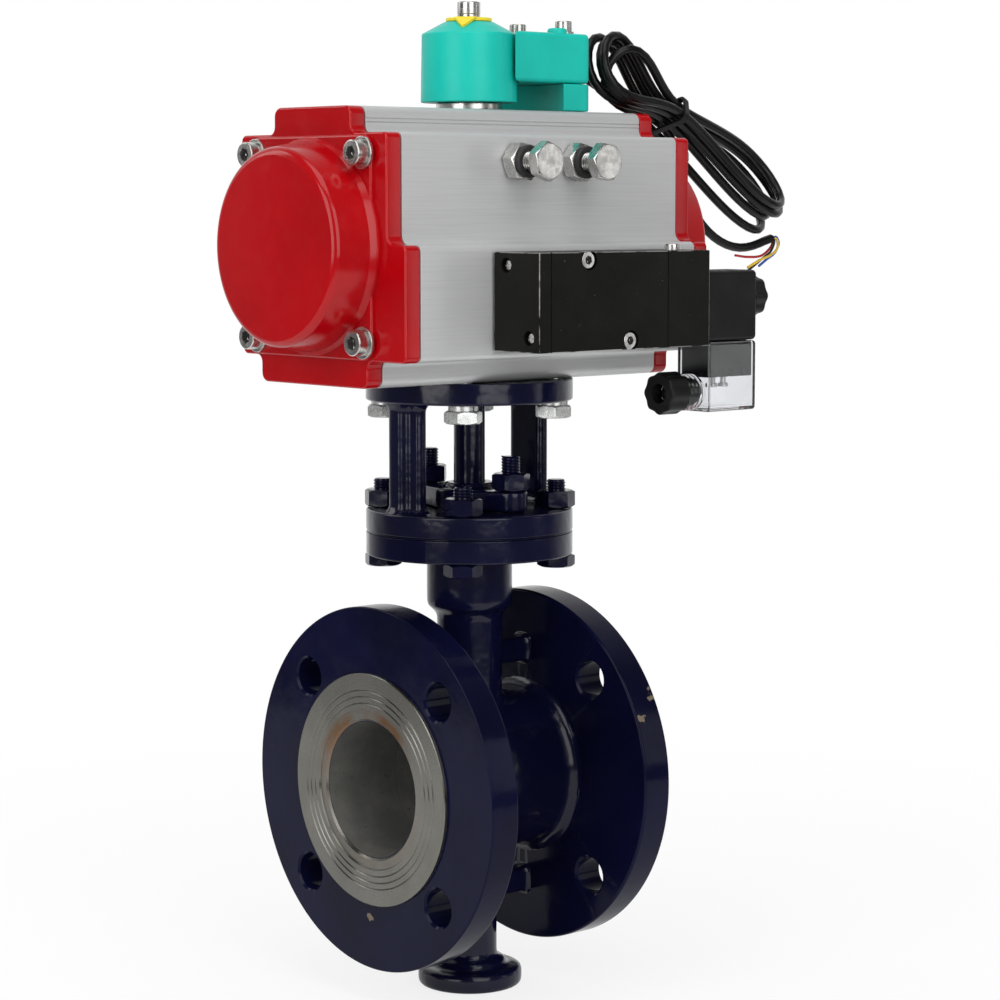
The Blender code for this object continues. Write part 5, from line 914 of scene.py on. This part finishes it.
STOP_SEAT, STOP_NUT_Y, STOP_SEAL_Y = span("stop_bolt_open", "Y")[0] + HEAD_T, -57.5, -65.6
BOLT_SPINS, NUT_SPINS = (8, 21), (22, 15)
for (end, x), spin in zip(STOPS.items(), BOLT_SPINS):
    bolt = shaped("bolt", hexagon(M10_FLATS, 0, HEAD_T), rod(4.45, -67.5, 0.5, edge=0.6, sides=32))
    fasteners(f"stop_bolt_{end}_screw", bolt, [((x, STOP_SEAT, STOP_Z), FRONT, spin)], "stainless_steel",
              stainless, [f"stop_bolt_{end}"], (4.55, PITCH, 0.45, -66.0, 65.0), body=f"stop_bolt_{end}")
nut_places = [((x, STOP_NUT_Y, STOP_Z), FRONT, spin) for x, spin in zip(STOPS.values(), NUT_SPINS)]
nut = shaped("nut", hexagon(M10_FLATS, 0, 8, 5.35))
fasteners("stop_lock_nuts", nut, nut_places, "stainless_steel", stainless,
          [f"stop_nut_{end}" for end in STOPS])
seal = shaped("ring", collar(5.3, 8.0, 0, 2.6, 48, 0.6, 1.0))
seal_places = [((x, STOP_SEAL_Y, STOP_Z), FRONT, 0) for x in STOPS.values()]
fasteners("stop_seal_rings", seal, seal_places, "black_rubber", rubber)

# Thrust ring and indicator
# A stainless ring bears the pinion's head. The moulded teal puck turns with it, a yellow pointer ring
# folds over its cone, and one socket screw with a spring washer holds both.

THRUST_LOW, THRUST_TOP = span("thrust_ring", "Z")
PUCK_LOW, PUCK_TOP = span("indicator_puck", "Z")
THRUST_R, PUCK_R, DRIVE_R = span("thrust_ring", "X")[1], span("indicator_puck", "X")[1], 10.3
CONE_TOP_R, CONE_R, CONE_Z, SCREW_HOLE_R = 12.5, 23.8, 378.2, 3.3
POINTER_R, POINTER_LOW, POINTER_TOP, POINTER_BEARING = 11.6, 384.5, 386.3, 220
HEAD_R, HEAD_TOP = span("puck_screw", "X")[1], span("puck_screw", "Z")[1]
HEAD_LOW = 388.2


def ring(corners, sides, steps=3):
    """A turned ring along Z, from its rounded section."""
    return lathe(rounded(corners, steps), sides=sides, loop=True)


def carried(shell, way):
    """A shell moved and turned by a matrix."""
    points, faces = shell
    return [tuple(way @ Vector(point)) for point in points], faces


thrust_line = [(DRIVE_R, THRUST_LOW, 0), (THRUST_R, THRUST_LOW, 0.4), (THRUST_R, THRUST_TOP, 0.5),
               (DRIVE_R, THRUST_TOP, 0.2)]
thrust = shaped("thrust_washer", ring(thrust_line, 96))
fitted(thrust, "valve", "stainless_steel", ["thrust_ring"], stainless)

teal = finish("teal_polymer", (0.0035, 0.44, 0.36), 0.40, Specular_IOR_Level=0.22)
mottle(teal, 30, (0.0030, 0.40, 0.33))
scuff(teal, 7, 0.32, 0.46)
grain(teal, 1.0, 0.014, 2.0)

puck_line = [(SCREW_HOLE_R, PUCK_TOP, 0), (CONE_TOP_R, PUCK_TOP, 0.8), (CONE_R, CONE_Z, 1.2),
             (PUCK_R, PUCK_LOW, 0.6), (DRIVE_R, PUCK_LOW, 0), (DRIVE_R, 351.3, 0), (SCREW_HOLE_R, 351.3, 0)]
puck = shaped("indicator_drum", ring(puck_line, 128, 4))
fitted(puck, "rotor", "teal_polymer", ["indicator_puck"], teal)

yellow = finish("yellow_polymer", (0.80, 0.62, 0.018), 0.40)
mottle(yellow, 9, (0.74, 0.56, 0.012))
scuff(yellow, 4, 0.34, 0.50)
grain(yellow, 0.8, 0.012)

pointer_shell = collar(SCREW_HOLE_R, POINTER_R, POINTER_LOW, POINTER_TOP, 96, 0.3, 0.5)
pointer = shaped("pointer_ring", pointer_shell)
tab_line = rounded([(-0.6, -5.7, 0.3), (10.4, 0, 0.9), (-0.6, 5.7, 0.3)], 3)
fall = Matrix.Rotation(math.atan2(PUCK_TOP - CONE_Z, CONE_R - CONE_TOP_R), 4, "Y")
bearing = Matrix.Rotation(math.radians(POINTER_BEARING), 4, "Z")
lean = bearing @ Matrix.Translation((11.0, 0, 384.9)) @ fall
joined(pointer, carried(slab(tab_line, "Z", 0, 1.6, 0.3, 2), lean))
fitted(pointer, "rotor", "yellow_polymer", ["indicator_pointer"], yellow)

screw_line = [(0, 346.8, 0), (3, 346.8, 0.3), (3, HEAD_LOW, 0), (HEAD_R, HEAD_LOW, 0.2),
              (HEAD_R, HEAD_TOP, 0.7), (0, HEAD_TOP, 0)]
drum_screw = shaped("drum_screw", turned(screw_line, sides=64, steps=3))
cut(drum_screw, hexagon(5, 390.6, 396.6, chamfer=SHARP))
drum_washer = shaped("drum_washer", collar(3.1, 5.8, 386.4, 388.0, 64, 0.2, 0.2, 2))
cut(drum_washer, slab(frame_of(-7, -0.4, -2, 0.4, 0.1), "Z", 386, 389))
fitted(drum_washer, "rotor", "stainless_steel", [], stainless)
fitted(drum_screw, "rotor", "stainless_steel", ["puck_screw"], stainless)

# Position sensor
# A moulded teal switch in two shells, hollowed round the indicator, that reads the pinion's angle.
# Two stainless socket screws hold it to the actuator's top rail, beside a moulded nub.

SENSOR_HALF_Y, SENSOR_END = span("sensor_base", "Y")[1], span("sensor_base", "X")[1]
NUB_TOP, COVER_TOP, NUB_R = span("sensor_head", "Z")[1], 379.5, 5
sensor_outline = frame_of(6, -SENSOR_HALF_Y, SENSOR_END, SENSOR_HALF_Y, 4.5)
sensor_foot = shaped("sensor_foot", slab(sensor_outline, "Z", *span("sensor_base", "Z"), 0.8))
cut(sensor_foot, rod(49, 339, 356, sides=192))
fitted(broken(sensor_foot, 0.5), "valve", "teal_polymer", ["sensor_base"], teal)
cover_shell = slab(sensor_outline, "Z", span("sensor_head", "Z")[0], COVER_TOP, 2.2, 5)
sensor_cover = shaped("sensor_cover", cover_shell)
cut(sensor_cover, rod(26.5, 353, 381, sides=128))
broken(sensor_cover, 0.7)
nub_line = [(0, 378, 0), (NUB_R, 378, 0), (NUB_R, NUB_TOP, 1.4), (0, NUB_TOP, 0)]
joined(sensor_cover, turned(nub_line, "Z", (43, -19), 48), rod(4.4, 58, 62.2, "X", (-2.6, 362), 0.5))
fitted(sensor_cover, "valve", "teal_polymer", ["sensor_head"], teal)
screw = joined(socket_screw(4.4, 5.2, 0.5, 4, 2.2), washer(5.4, 1.4, 0.2, 40))
screw_places = [((48.8, y, 380.7), UP, spin) for y, spin in ((-17.5, 14), (17.5, 40))]
fasteners("sensor_screws", screw, screw_places, "stainless_steel", stainless)

# Solenoid valve
# A spool valve in black anodised aluminium: an end cover, the ported body and the pilot block, bolted to the
# actuator's pad through a gasket. The corners are rubbed bright, and socket and cross-head screws hold it.

black = finish("black_aluminium", (0.0032, 0.0031, 0.0026), 0.38, 0.0, Specular_IOR_Level=0.15)
mottle(black, 40, (0.0055, 0.0055, 0.0046))
mottle(black, 1.3, (0.10, 0.10, 0.095), 0.735, 0.76, 4.0)
scuff(black, 6, 0.34, 0.50)
grain(black, 0.6, 0.014, 2.0)
worn = finish("rubbed_aluminium", (0.42, 0.42, 0.41), 0.36, 0.9)
mottle(worn, 9, (0.010, 0.010, 0.010), 0.50, 0.62, 4.0)
scuff(worn, 3, 0.30, 0.46)

CASE_X, COVER_X = span("solenoid_body", "X"), span("solenoid_end_cover", "X")
PILOT_X = (span("pilot_block", "X")[0], 67.6)
BLOCK_JOINTS = ((COVER_X[1] + CASE_X[0]) / 2, (CASE_X[1] + PILOT_X[0]) / 2)
VALVE_AXIS = (VALVE_Y, VALVE_Z)
FRONT_SCREWS, FRONT_SEAT = ((-14.4, 266.6, 10), (13.6, 227.3, 35)), -99.3
COVER_SCREWS, COVER_SEAT = (((-81, 264.3), 12), ((-97.2, 230), 30)), -44.3
AIR_XS = (-21, 0, 21)
BUTTON_X = middle("override_button", "X")


def section_of(name, radius):
    """The rounded rectangle that a CAD piece fills across X."""
    (y_low, y_high), (z_low, z_high) = span(name, "Y"), span(name, "Z")
    return frame_of(y_low, z_low, y_high, z_high, radius)


def valve_block(name, ends, *cuts):
    """A block of the valve between two X places, its corners rubbed thin apart from its joints."""
    block = shaped(name, slab(section_of("solenoid_body", 0), "X", *ends))
    for _ in range(2):
        block.data.materials.append(black)
    broken(block, 0.4, slot=1)
    for face in block.data.polygons:
        if min(abs(face.center.x / MM - joint) for joint in BLOCK_JOINTS) < 1:
            face.material_index = 0
    return cut(block, *cuts)


counterbores = [rod(4.9, -106, -99.2, "Y", (z, x)) for x, z, _ in FRONT_SCREWS]
sockets = [rod(5.75, 221, 243, "Z", (x, VALVE_Y), sides=48) for x in AIR_XS]
ports = [rod(PORT_R, VALVE_Y, -70, "Y", (VALVE_Z, x)) for x in PORT_XS]
bore = rod(6.0, -41, 40, "X", VALVE_AXIS)
ported = valve_block("solenoid_case", CASE_X, *counterbores, *sockets, *ports, bore)
fitted(ported, "valve", "black_aluminium", ["solenoid_body"], black, worn)
cover_holes = [rod(3.6, -48, -44.2, "X", place) for place, _ in COVER_SCREWS]
cover = valve_block("solenoid_cover", COVER_X, *cover_holes)
fitted(cover, "valve", "black_aluminium", ["solenoid_end_cover"], black, worn)
pilot = valve_block("pilot_case", PILOT_X, rod(4.3, 259.7, 272, "Z", (BUTTON_X, VALVE_Y)))
joined(pilot, rod(6, 66, 111.5, "X", VALVE_AXIS, sides=48))
cut(pilot, rod(4.3, 37, 106.5, "X", VALVE_AXIS))
fitted(pilot, "valve", "black_aluminium", ["pilot_block"], black, worn)

front_places = [((x, FRONT_SEAT, z), FRONT, spin) for x, z, spin in FRONT_SCREWS]
fasteners("valve_screws", socket_screw(4.2, 4.6, 0.5, 4, 1.6), front_places, "stainless_steel", stainless)
# A thin black hexagon on the floor of each socket is painted shade that darkens the socket's depth.
socket = shaped("socket", hexagon(3.96, 1.0, 1.8))
fasteners("valve_sockets", socket, front_places, "black_rubber", rubber)
screw = shaped("screw", turned([(0, 0, 0), (2.7, 0, 0), (2.7, 1.0, 0.9), (0, 1.6, 0)], sides=40))
cut(screw, *[slab(frame_of(-a, -b, a, b, 0.1), "Z", 0.7, 3) for a, b in ((1.8, 0.35), (0.35, 1.8))])
cover_places = [((COVER_SEAT, *place), (-1, 0, 0), spin) for place, spin in COVER_SCREWS]
fasteners("cover_screws", screw, cover_places, "stainless_steel", stainless)
button = shaped("override_pin", rod(4, *span("override_button", "Z"), "Z", (BUTTON_X, VALVE_Y), 0.5))
cut(button, slab(frame_of(BUTTON_X - 5, VALVE_Y - 0.6, BUTTON_X + 5, VALVE_Y + 0.6, 0.1), "Z", 272.2, 275))
fitted(button, "override_button", "stainless_steel", ["override_button"], stainless)
thread_places = [((x, VALVE_Y, 224), UP, 0) for x in AIR_XS]
fasteners("port_threads", shaped("thread", rod(0.5, 0, 0.2, sides=8)), thread_places, "black_aluminium", worn,
          thread=(5.7, 1.3, 0.35, 0.5, 12.0))

# Coil and plug
# The moulded black coil slides over the pilot's tube and a lobed nut holds it. A clear plug hangs below,
# with its terminal block and contact screws inside, a ribbed collar and a lobed cable nut.

PLUG_AXIS = (middle("plug_gland_nut", "Y"), middle("plug_gland_nut", "Z"))
PLUG_X, PLUG_TOP_X = 73, span("plug_shell", "X")[1]
COLLAR_R, COLLAR_RIB_R, COLLAR_STEP, COLLAR_END = 8.5, 9.3, 2.6, span("plug_shell", "X")[0]
COLLAR_RIB = ((COLLAR_R, 72.2), (COLLAR_RIB_R, 71.6), (COLLAR_RIB_R, 70.6), (COLLAR_R, 70.0))
LOBES, LOBE_DEPTH, LOBE_POINTS = 8, 0.45, 128
SEAL_IN, SEAL_OUT, SEAL_ENDS = 4.6, 5.3, (56.2, 73.2)

coil_case = shaped("coil_case", slab(section_of("coil", 2.4), "X", *span("coil", "X"), 1.6, 4))
cut(coil_case, rod(6.3, 66, 109, "X", VALVE_AXIS))
fitted(coil_case, "valve", "black_polymer", ["coil"], polymer)


def lobed(name, radius, ends, centre):
    """A finger nut along X with shallow lobes."""
    outline = []
    for turn in full_turn(LOBE_POINTS):
        reach = radius - LOBE_DEPTH + LOBE_DEPTH * math.cos(LOBES * turn)
        outline.append(polar(reach, turn, *centre))
    return shaped(name, slab(outline, "X", *ends, 1.0))


coil_knob = lobed("coil_knob", 11, span("coil_nut", "X"), VALVE_AXIS)
cut(coil_knob, rod(6.3, 106, 111.8, "X", VALVE_AXIS))
fitted(coil_knob, "valve", "black_polymer", ["coil_nut"], polymer)
cable_nut = lobed("cable_nut", 10.7, span("plug_gland_nut", "X"), PLUG_AXIS)
cut(cable_nut, rod(8.8, 55.7, 63, "X", PLUG_AXIS), rod(5, 47, 57, "X", PLUG_AXIS))
fitted(cable_nut, "valve", "black_polymer", ["plug_gland_nut"], polymer)

clear = finish("clear_polymer", (0.87, 0.88, 0.90), 0.06, Transmission_Weight=1.0, IOR=1.49)
scuff(clear, 12, 0.03, 0.10)
grain(clear, 9, 0.03, 1.0)
plug_case = shaped("plug_case", slab(section_of("plug_shell", 2.0), "X", PLUG_X, PLUG_TOP_X, 1.4, 4))
collar_line = [(0, 74), (COLLAR_R, 74)]
for rib in range(4):
    collar_line += [(radius, x - COLLAR_STEP * rib) for radius, x in COLLAR_RIB]
collar_line += [(COLLAR_R, COLLAR_END), (0, COLLAR_END)]
joined(plug_case, lathe(collar_line, "X", PLUG_AXIS, 64))
plug_hollow = slab(frame_of(-97.7, 190.8, -78.3, 226, 1.2), "X", 74.8, 105.6)
cut(plug_case, plug_hollow, rod(5, 54, 77, "X", PLUG_AXIS))
fitted(plug_case, "valve", "clear_polymer", ["plug_shell"], clear)

cable_seal = shaped("cable_seal", collar(SEAL_IN, SEAL_OUT, *SEAL_ENDS, 48, axis="X", centre=PLUG_AXIS))
fitted(cable_seal, "valve", "black_rubber", [], rubber)
terminal_shell = slab(section_of("terminal_block", 0.8), "X", *span("terminal_block", "X"), 0.6)
terminals = shaped("terminal_carrier", terminal_shell)
slot_outline = frame_of(-100, 205, -76, 210.3, 0.3)
cut(terminals, *[slab(slot_outline, "X", x - 1.5, x + 1.5) for x in (82.65, 90.2, 97.75)])
fitted(terminals, "valve", "black_polymer", ["terminal_block"], polymer)
screw = shaped("screw", rod(1.5, -4, 3, sides=20), rod(2.6, 2.5, 4.5, edge=0.4, sides=28))
cut(screw, slab(frame_of(-3, -0.35, 3, 0.35, 0.1), "Z", 3.6, 6))
contact_places = [((x, VALVE_Y, 205.2), DOWN, spin) for x, spin in ((86.4, 20), (94.0, 65))]
fasteners("contact_screws", screw, contact_places, "zinc_steel", zinc)

# Sensor cable
# Black round cable, 4.8 mm, wound into a four-turn hank as it was packed, with a nylon tie at its waist.
# Its tail hangs free, and four thin coloured cores come out of the stripped end.

CABLE_R, CABLE_STEP, POINT_GAP = 2.4, 5.5, 5.0
EXIT, TIE = Vector((62.3, -2.6, 362.0)), Vector((127.4, -13.6, 339.4))
SLOPE, TILT, TWIST, WAIST = math.radians(-29), math.radians(20), math.radians(0.22), 3.7
OUTER_LOBES, OUTER_POWER = ((92, 34, -6), (86, 32, -7), (90, 34, -6), (84, 32, -8)), 1.7
INNER_LOBES, INNER_POWER = ((58, 30, 6), (54, 28, 6), (57, 30, 5.5), (47, 21, 5)), 1.9
LOWER_SLOTS, UPPER_SLOTS = (-2, 0, 1, 2, -1), (-1.5, -0.5, 0.5, 1.5)
TURN_POINTS, STIFF_PASSES = 48, 120


def hank_frame(run):
    """The hank's own directions at a run along it: ahead, across the tie's short way and its long way."""
    tilt = TILT + TWIST * run
    ahead = Vector((math.cos(SLOPE), 0, math.sin(SLOPE)))
    upward = Vector((-math.sin(SLOPE), 0, math.cos(SLOPE)))
    rise = upward * math.cos(tilt) + Vector((0, math.sin(tilt), 0))
    return ahead, rise, ahead.cross(rise)


def hank_place(run, rise, slot):
    """A place in the hank, from its run along the hank, its rise across it and its slot at the tie."""
    ahead, short, long = hank_frame(run)
    return TIE + ahead * run + short * rise + long * slot * CABLE_STEP


def eased(value):
    value = min(max(value, 0.0), 1.0)
    return value * value * (3 - 2 * value)


def hank_point(turn):
    """The cable's centre after some turns, counted from where it first passes the tie."""
    angle = 2 * math.pi * turn - math.pi / 2
    across, outward = math.sin(angle), math.cos(angle)
    loop = math.floor(turn)
    way = 2 * (turn - loop)
    if way < 1:
        reach, swell, sag = OUTER_LOBES[loop]
        power, start, end = OUTER_POWER, LOWER_SLOTS[loop], UPPER_SLOTS[loop]
    else:
        reach, swell, sag = INNER_LOBES[loop]
        power, start, end = INNER_POWER, UPPER_SLOTS[loop], LOWER_SLOTS[loop + 1]
        wait, spell = (0.34, 0.32) if loop + 1 == len(INNER_LOBES) else (0.30, 0.70)
        way = (way - 1 - wait) / spell
    size = abs(outward)
    rise = across * (WAIST + swell * size ** power) + sag * size ** 2
    return hank_place(reach * outward, rise, start + (end - start) * eased(way))


def smooth_curve(points, steps):
    """Points on a smooth curve through the given ones."""
    places = [Vector(p) for p in points]
    ends = [places[0] * 2 - places[1]] + places + [places[-1] * 2 - places[-2]]
    found = []
    for before, start, end, after in zip(ends, ends[1:], ends[2:], ends[3:]):
        for i in range(steps):
            t = i / steps
            bend = (2 * before - 5 * start + 4 * end - after) * t * t
            swing = (3 * start - before - 3 * end + after) * t ** 3
            found.append((2 * start + (end - before) * t + bend + swing) / 2)
    return found + [places[-1]]


def evened(points, gap):
    """The same route with its points about a gap apart."""
    travelled = [0.0]
    for start, end in zip(points, points[1:]):
        travelled.append(travelled[-1] + (end - start).length)
    count = round(travelled[-1] / gap)
    found, at = [], 0
    for i in range(count):
        distance = travelled[-1] * i / count
        while travelled[at + 1] <= distance:
            at += 1
        share = (distance - travelled[at]) / (travelled[at + 1] - travelled[at])
        found.append(points[at].lerp(points[at + 1], share))
    return found + [points[-1]]


def stiffened(points, passes, give=0.5, spring=-0.54):
    """The same route with its bends opened as a stiff cable's are, its two first and last points kept."""
    for share in (give, spring) * passes:
        moved = [here.lerp((before + after) / 2, share)
                 for before, here, after in zip(points[1:], points[2:], points[3:-1])]
        points = points[:2] + moved + points[-2:]
    return points


LEAD = ((-44, -5.5, -2.05), (-30, -4.5, -2), (-15, -3.2, -2))
TAIL = ((5.5, -10.4, -11.0), (9.5, -12.2, -23.0), (13.5, -13.5, -35.5), (19.5, -14.6, -48.0),
        (28.0, -16.0, -58.5), (39.0, -17.0, -65.5), (51.0, -17.8, -68.8), (62.5, -18.0, -68.8),
        (72.5, -18.0, -66.5))
leave = [EXIT + Vector((i * 2 * CABLE_R, 0, 0)) for i in range(3)]
leave += [hank_place(*place) for place in LEAD] + [hank_point(0.0)]
wound = [hank_point(i / TURN_POINTS) for i in range(1, len(OUTER_LOBES) * TURN_POINTS)]
tail = [hank_place(run, -WAIST, LOWER_SLOTS[-1]) for run in (0.0, 1.8, 3.6)]
tail = smooth_curve(tail + [Vector((TIE.x + x, y, TIE.z + z)) for x, y, z in TAIL], 6)
route = smooth_curve(leave, 6) + wound + tail
route.append(route[-1] + (route[-1] - route[-2]).normalized() * 2 * CABLE_R)
route = stiffened(evened(route, POINT_GAP), STIFF_PASSES)

sheath = finish("cable_sheath", (0.003, 0.003, 0.003), 0.30, Specular_IOR_Level=0.28)
mottle(sheath, 30, (0.005, 0.005, 0.005))
scuff(sheath, 9, 0.24, 0.36)
grain(sheath, 2.2, 0.03, 2.0)

line = bpy.data.curves.new("sensor_lead", "CURVE")
line.dimensions, line.fill_mode, line.use_fill_caps = "3D", "FULL", True
line.bevel_depth, line.bevel_resolution = CABLE_R * MM, 5
spline = line.splines.new("POLY")
spline.points.add(len(route) - 1)
for point, place in zip(spline.points, route):
    point.co = (*(place * MM), 1.0)
line.materials.append(sheath)
sensor_lead = linked("sensor_lead", line)
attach(sensor_lead, "valve")
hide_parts("sensor_cable")

STRAP_GAP, STRAP_T, STRAP_HALF_W, STRAP_BEND, TIE_HEAD = 0.7, 1.2, 1.8, 2.4, 6.0
half_up = WAIST + CABLE_R + STRAP_GAP
half_side = max(LOWER_SLOTS) * CABLE_STEP + CABLE_R + STRAP_GAP
row_shift = CABLE_STEP / 2
tie_ahead, tie_short, tie_long = hank_frame(0.0)
tie_lean = Matrix.Translation(TIE) @ Matrix((tie_short, tie_long, tie_ahead)).transposed().to_4x4()


def strap_line(grow):
    """The strap's outline round the lower row of strands and the shorter upper one."""
    low, high = half_side + grow, half_side - row_shift + grow
    up, bend = half_up + grow, STRAP_BEND + grow
    return rounded([(-up, -low, bend), (up, -high, bend), (up, high, bend), (-up, low, bend)])


strap_shell = slab(strap_line(STRAP_T), "Z", -STRAP_HALF_W, STRAP_HALF_W, 0.3)
strap = shaped("nylon_tie", carried(strap_shell, tie_lean))
cut(strap, carried(slab(strap_line(0.0), "Z", -3, 3), tie_lean))
tie_head = frame_of(half_up + 0.6, -TIE_HEAD / 2, half_up + 0.6 + TIE_HEAD, TIE_HEAD / 2, 0.8)
joined(strap, carried(slab(tie_head, "Z", -TIE_HEAD / 2, TIE_HEAD / 2, 0.6), tie_lean))
fitted(strap, "valve", "black_polymer", ["cable_tie"], polymer)

CORE_R, FILLER_R = 0.7, 1.6
CORES = (
    ((3.8, -0.6, 0.7), (4.6, -1.6, -3.0), (0.3, -2.6, -8.0), (-6.2, -2.6, -11.5), (-11.7, -2.1, -15.0)),
    ((3.3, 0.9, 0.1), (2.3, 2.4, -5.0), (-4.2, 3.4, -9.5), (-14.7, 3.9, -10.0), (-24.7, 3.4, -9.0)),
    ((3.3, -1.4, -0.5), (1.3, -3.6, -5.5), (-6.7, -5.6, -9.2), (-15.7, -6.1, -11.7), (-24.2, -5.6, -15.5)),
    ((2.9, 0.0, -1.5), (-0.2, -0.2, -7.0), (-7.2, 0.4, -11.5), (-13.7, 0.9, -15.5), (-17.2, 1.4, -17.7)))
CORE_COLOURS = {"blue_core": (0.02, 0.10, 0.48), "red_core": (0.55, 0.016, 0.018),
                "yellow_core": (0.72, 0.47, 0.03), "black_core": (0.012, 0.012, 0.012)}
core_finishes = []
for core_name, colour in CORE_COLOURS.items():
    core_finish = finish(core_name, colour, 0.42)
    mottle(core_finish, 5, tuple(0.8 * c for c in colour), 0.45, 0.65)
    scuff(core_finish, 2, 0.34, 0.52)
    core_finishes.append(core_finish)
end_at, end_way = route[-1], (route[-1] - route[-2]).normalized()
inner = end_at + end_way * 0.5
cores = []
for core in CORES:
    core_line = smooth_curve([inner] + [end_at + Vector(step) for step in core], 8)
    cores.append(tube(core_line, CORE_R, 10))
filler = tube([end_at + end_way * 0.05, end_at + end_way * 1.4], FILLER_R, 20)
core_ends = shaped("bare_cores", *cores, filler)
per_core = len(cores[0][1])
for i, face in enumerate(core_ends.data.polygons):
    face.material_index = min(i // per_core, len(CORES) - 1)
fitted(core_ends, "valve", "bare_cores", ["cable_cores"], *core_finishes)

# Studio
# A pale floor under the foot, a white room, and softboxes to either side of the camera, above it and behind.
# Camera rays see white, and mirror rays see a room that is dark on the camera's side.

FLOOR_R, FLOOR_Z, FLOOR_SIDES = 900, -111.2, 96
WHITE = (1, 1, 1, 1)
AWAY_FROM_CAMERA = (0.658, 0.744, 0.0)

scene = bpy.context.scene
scene.view_settings.view_transform = "Standard"
floor_shape = bpy.data.meshes.new("floor")
floor_points, floor_faces = lathe([(FLOOR_R, FLOOR_Z), (0, FLOOR_Z)], sides=FLOOR_SIDES)
floor_shape.from_pydata(floor_points, [], floor_faces[:FLOOR_SIDES])
floor_shape.transform(Matrix.Scale(MM, 4))
floor = linked("floor", floor_shape)
pale = finish("pale_floor", (0.86, 0.86, 0.86), 0.6)
glow = node(pale, "Emission", {"Color": WHITE, "Strength": 1.0})
path = node(pale, "LightPath", {}).outputs
seen = math_node(pale, "MAXIMUM", path["Is Camera Ray"], path["Is Glossy Ray"])
seen = math_node(pale, "MAXIMUM", seen, path["Is Transmission Ray"])
floor_place = node(pale, "TexCoord", {}).outputs["Object"]
from_middle = node(pale, "VectorMath", {0: floor_place}, operation="LENGTH").outputs["Value"]
bright = between(pale, from_middle, 0.15, 0.7, 0.80, 1.0)
bright = math_node(pale, "MULTIPLY", bright, between(pale, path["Is Glossy Ray"], 0.0, 1.0, 1.0, 0.6))
floor_nodes = pale.node_tree.nodes
white = node(pale, "MixShader", {0: math_node(pale, "MULTIPLY", seen, bright),
                                 1: floor_nodes["Principled BSDF"].outputs[0], 2: glow.outputs[0]})
pale.node_tree.links.new(white.outputs[0], floor_nodes["Material Output"].inputs["Surface"])
floor_shape.materials.append(pale)

room = bpy.data.worlds.new("white_room")
room.use_nodes = True
scene.world = room
path = node(room, "LightPath", {}).outputs
seen = math_node(room, "MAXIMUM", path["Is Camera Ray"], path["Is Transmission Ray"])
plain = between(room, seen, 0.0, 1.0, 0.5, 1.0)
heading = node(room, "TexCoord", {}).outputs["Generated"]
behind = node(room, "VectorMath", {0: heading, 1: AWAY_FROM_CAMERA}, operation="DOT_PRODUCT").outputs["Value"]
shine = between(room, behind, 0.2, 0.8, 0.13, 1.0)
strength = node(room, "Mix", {0: path["Is Glossy Ray"], 2: plain, 3: shine})
background = room.node_tree.nodes["Background"]
background.inputs["Color"].default_value = WHITE
room.node_tree.links.new(strength.outputs[0], background.inputs["Strength"])

LIT_MIDDLE = Vector((0, 0, 0.18))


def softbox(name, bearing, height, distance, width, tall, power):
    """An area lamp at a bearing round the object, turned to its middle, its sizes in metres."""
    data = bpy.data.lights.new(name, "AREA")
    data.shape, data.size, data.size_y, data.energy = "RECTANGLE", width, tall, power
    item = linked(name, data)
    item.location = (*polar(distance, math.radians(bearing)), height)
    item.rotation_euler = (LIT_MIDDLE - item.location).to_track_quat("-Z", "Y").to_euler()
    item.visible_camera = False


softbox("left_softbox", 192, 0.75, 1.7, 1.0, 1.6, 16)
softbox("right_softbox", 256, 0.65, 1.25, 0.8, 1.3, 9)
softbox("top_softbox", 229, 2.1, 0.5, 1.4, 1.4, 14)
softbox("back_left_softbox", 124, 1.1, 1.7, 0.5, 1.2, 5)
softbox("front_right_softbox", 311, 0.40, 1.8, 0.4, 0.8, 1.2)

CAMERA_PLACE, CAMERA_DIP, CAMERA_BEARING = (-0.93192, -1.07744, 0.29500), 6.13, -41.4897
camera_data = bpy.data.cameras.new("camera")
camera_data.sensor_width, camera_data.lens = 36.0, 100.454
camera = linked("camera", camera_data)
camera.location = CAMERA_PLACE
camera.rotation_euler = (math.radians(90 - CAMERA_DIP), 0, math.radians(CAMERA_BEARING))
scene.camera = camera
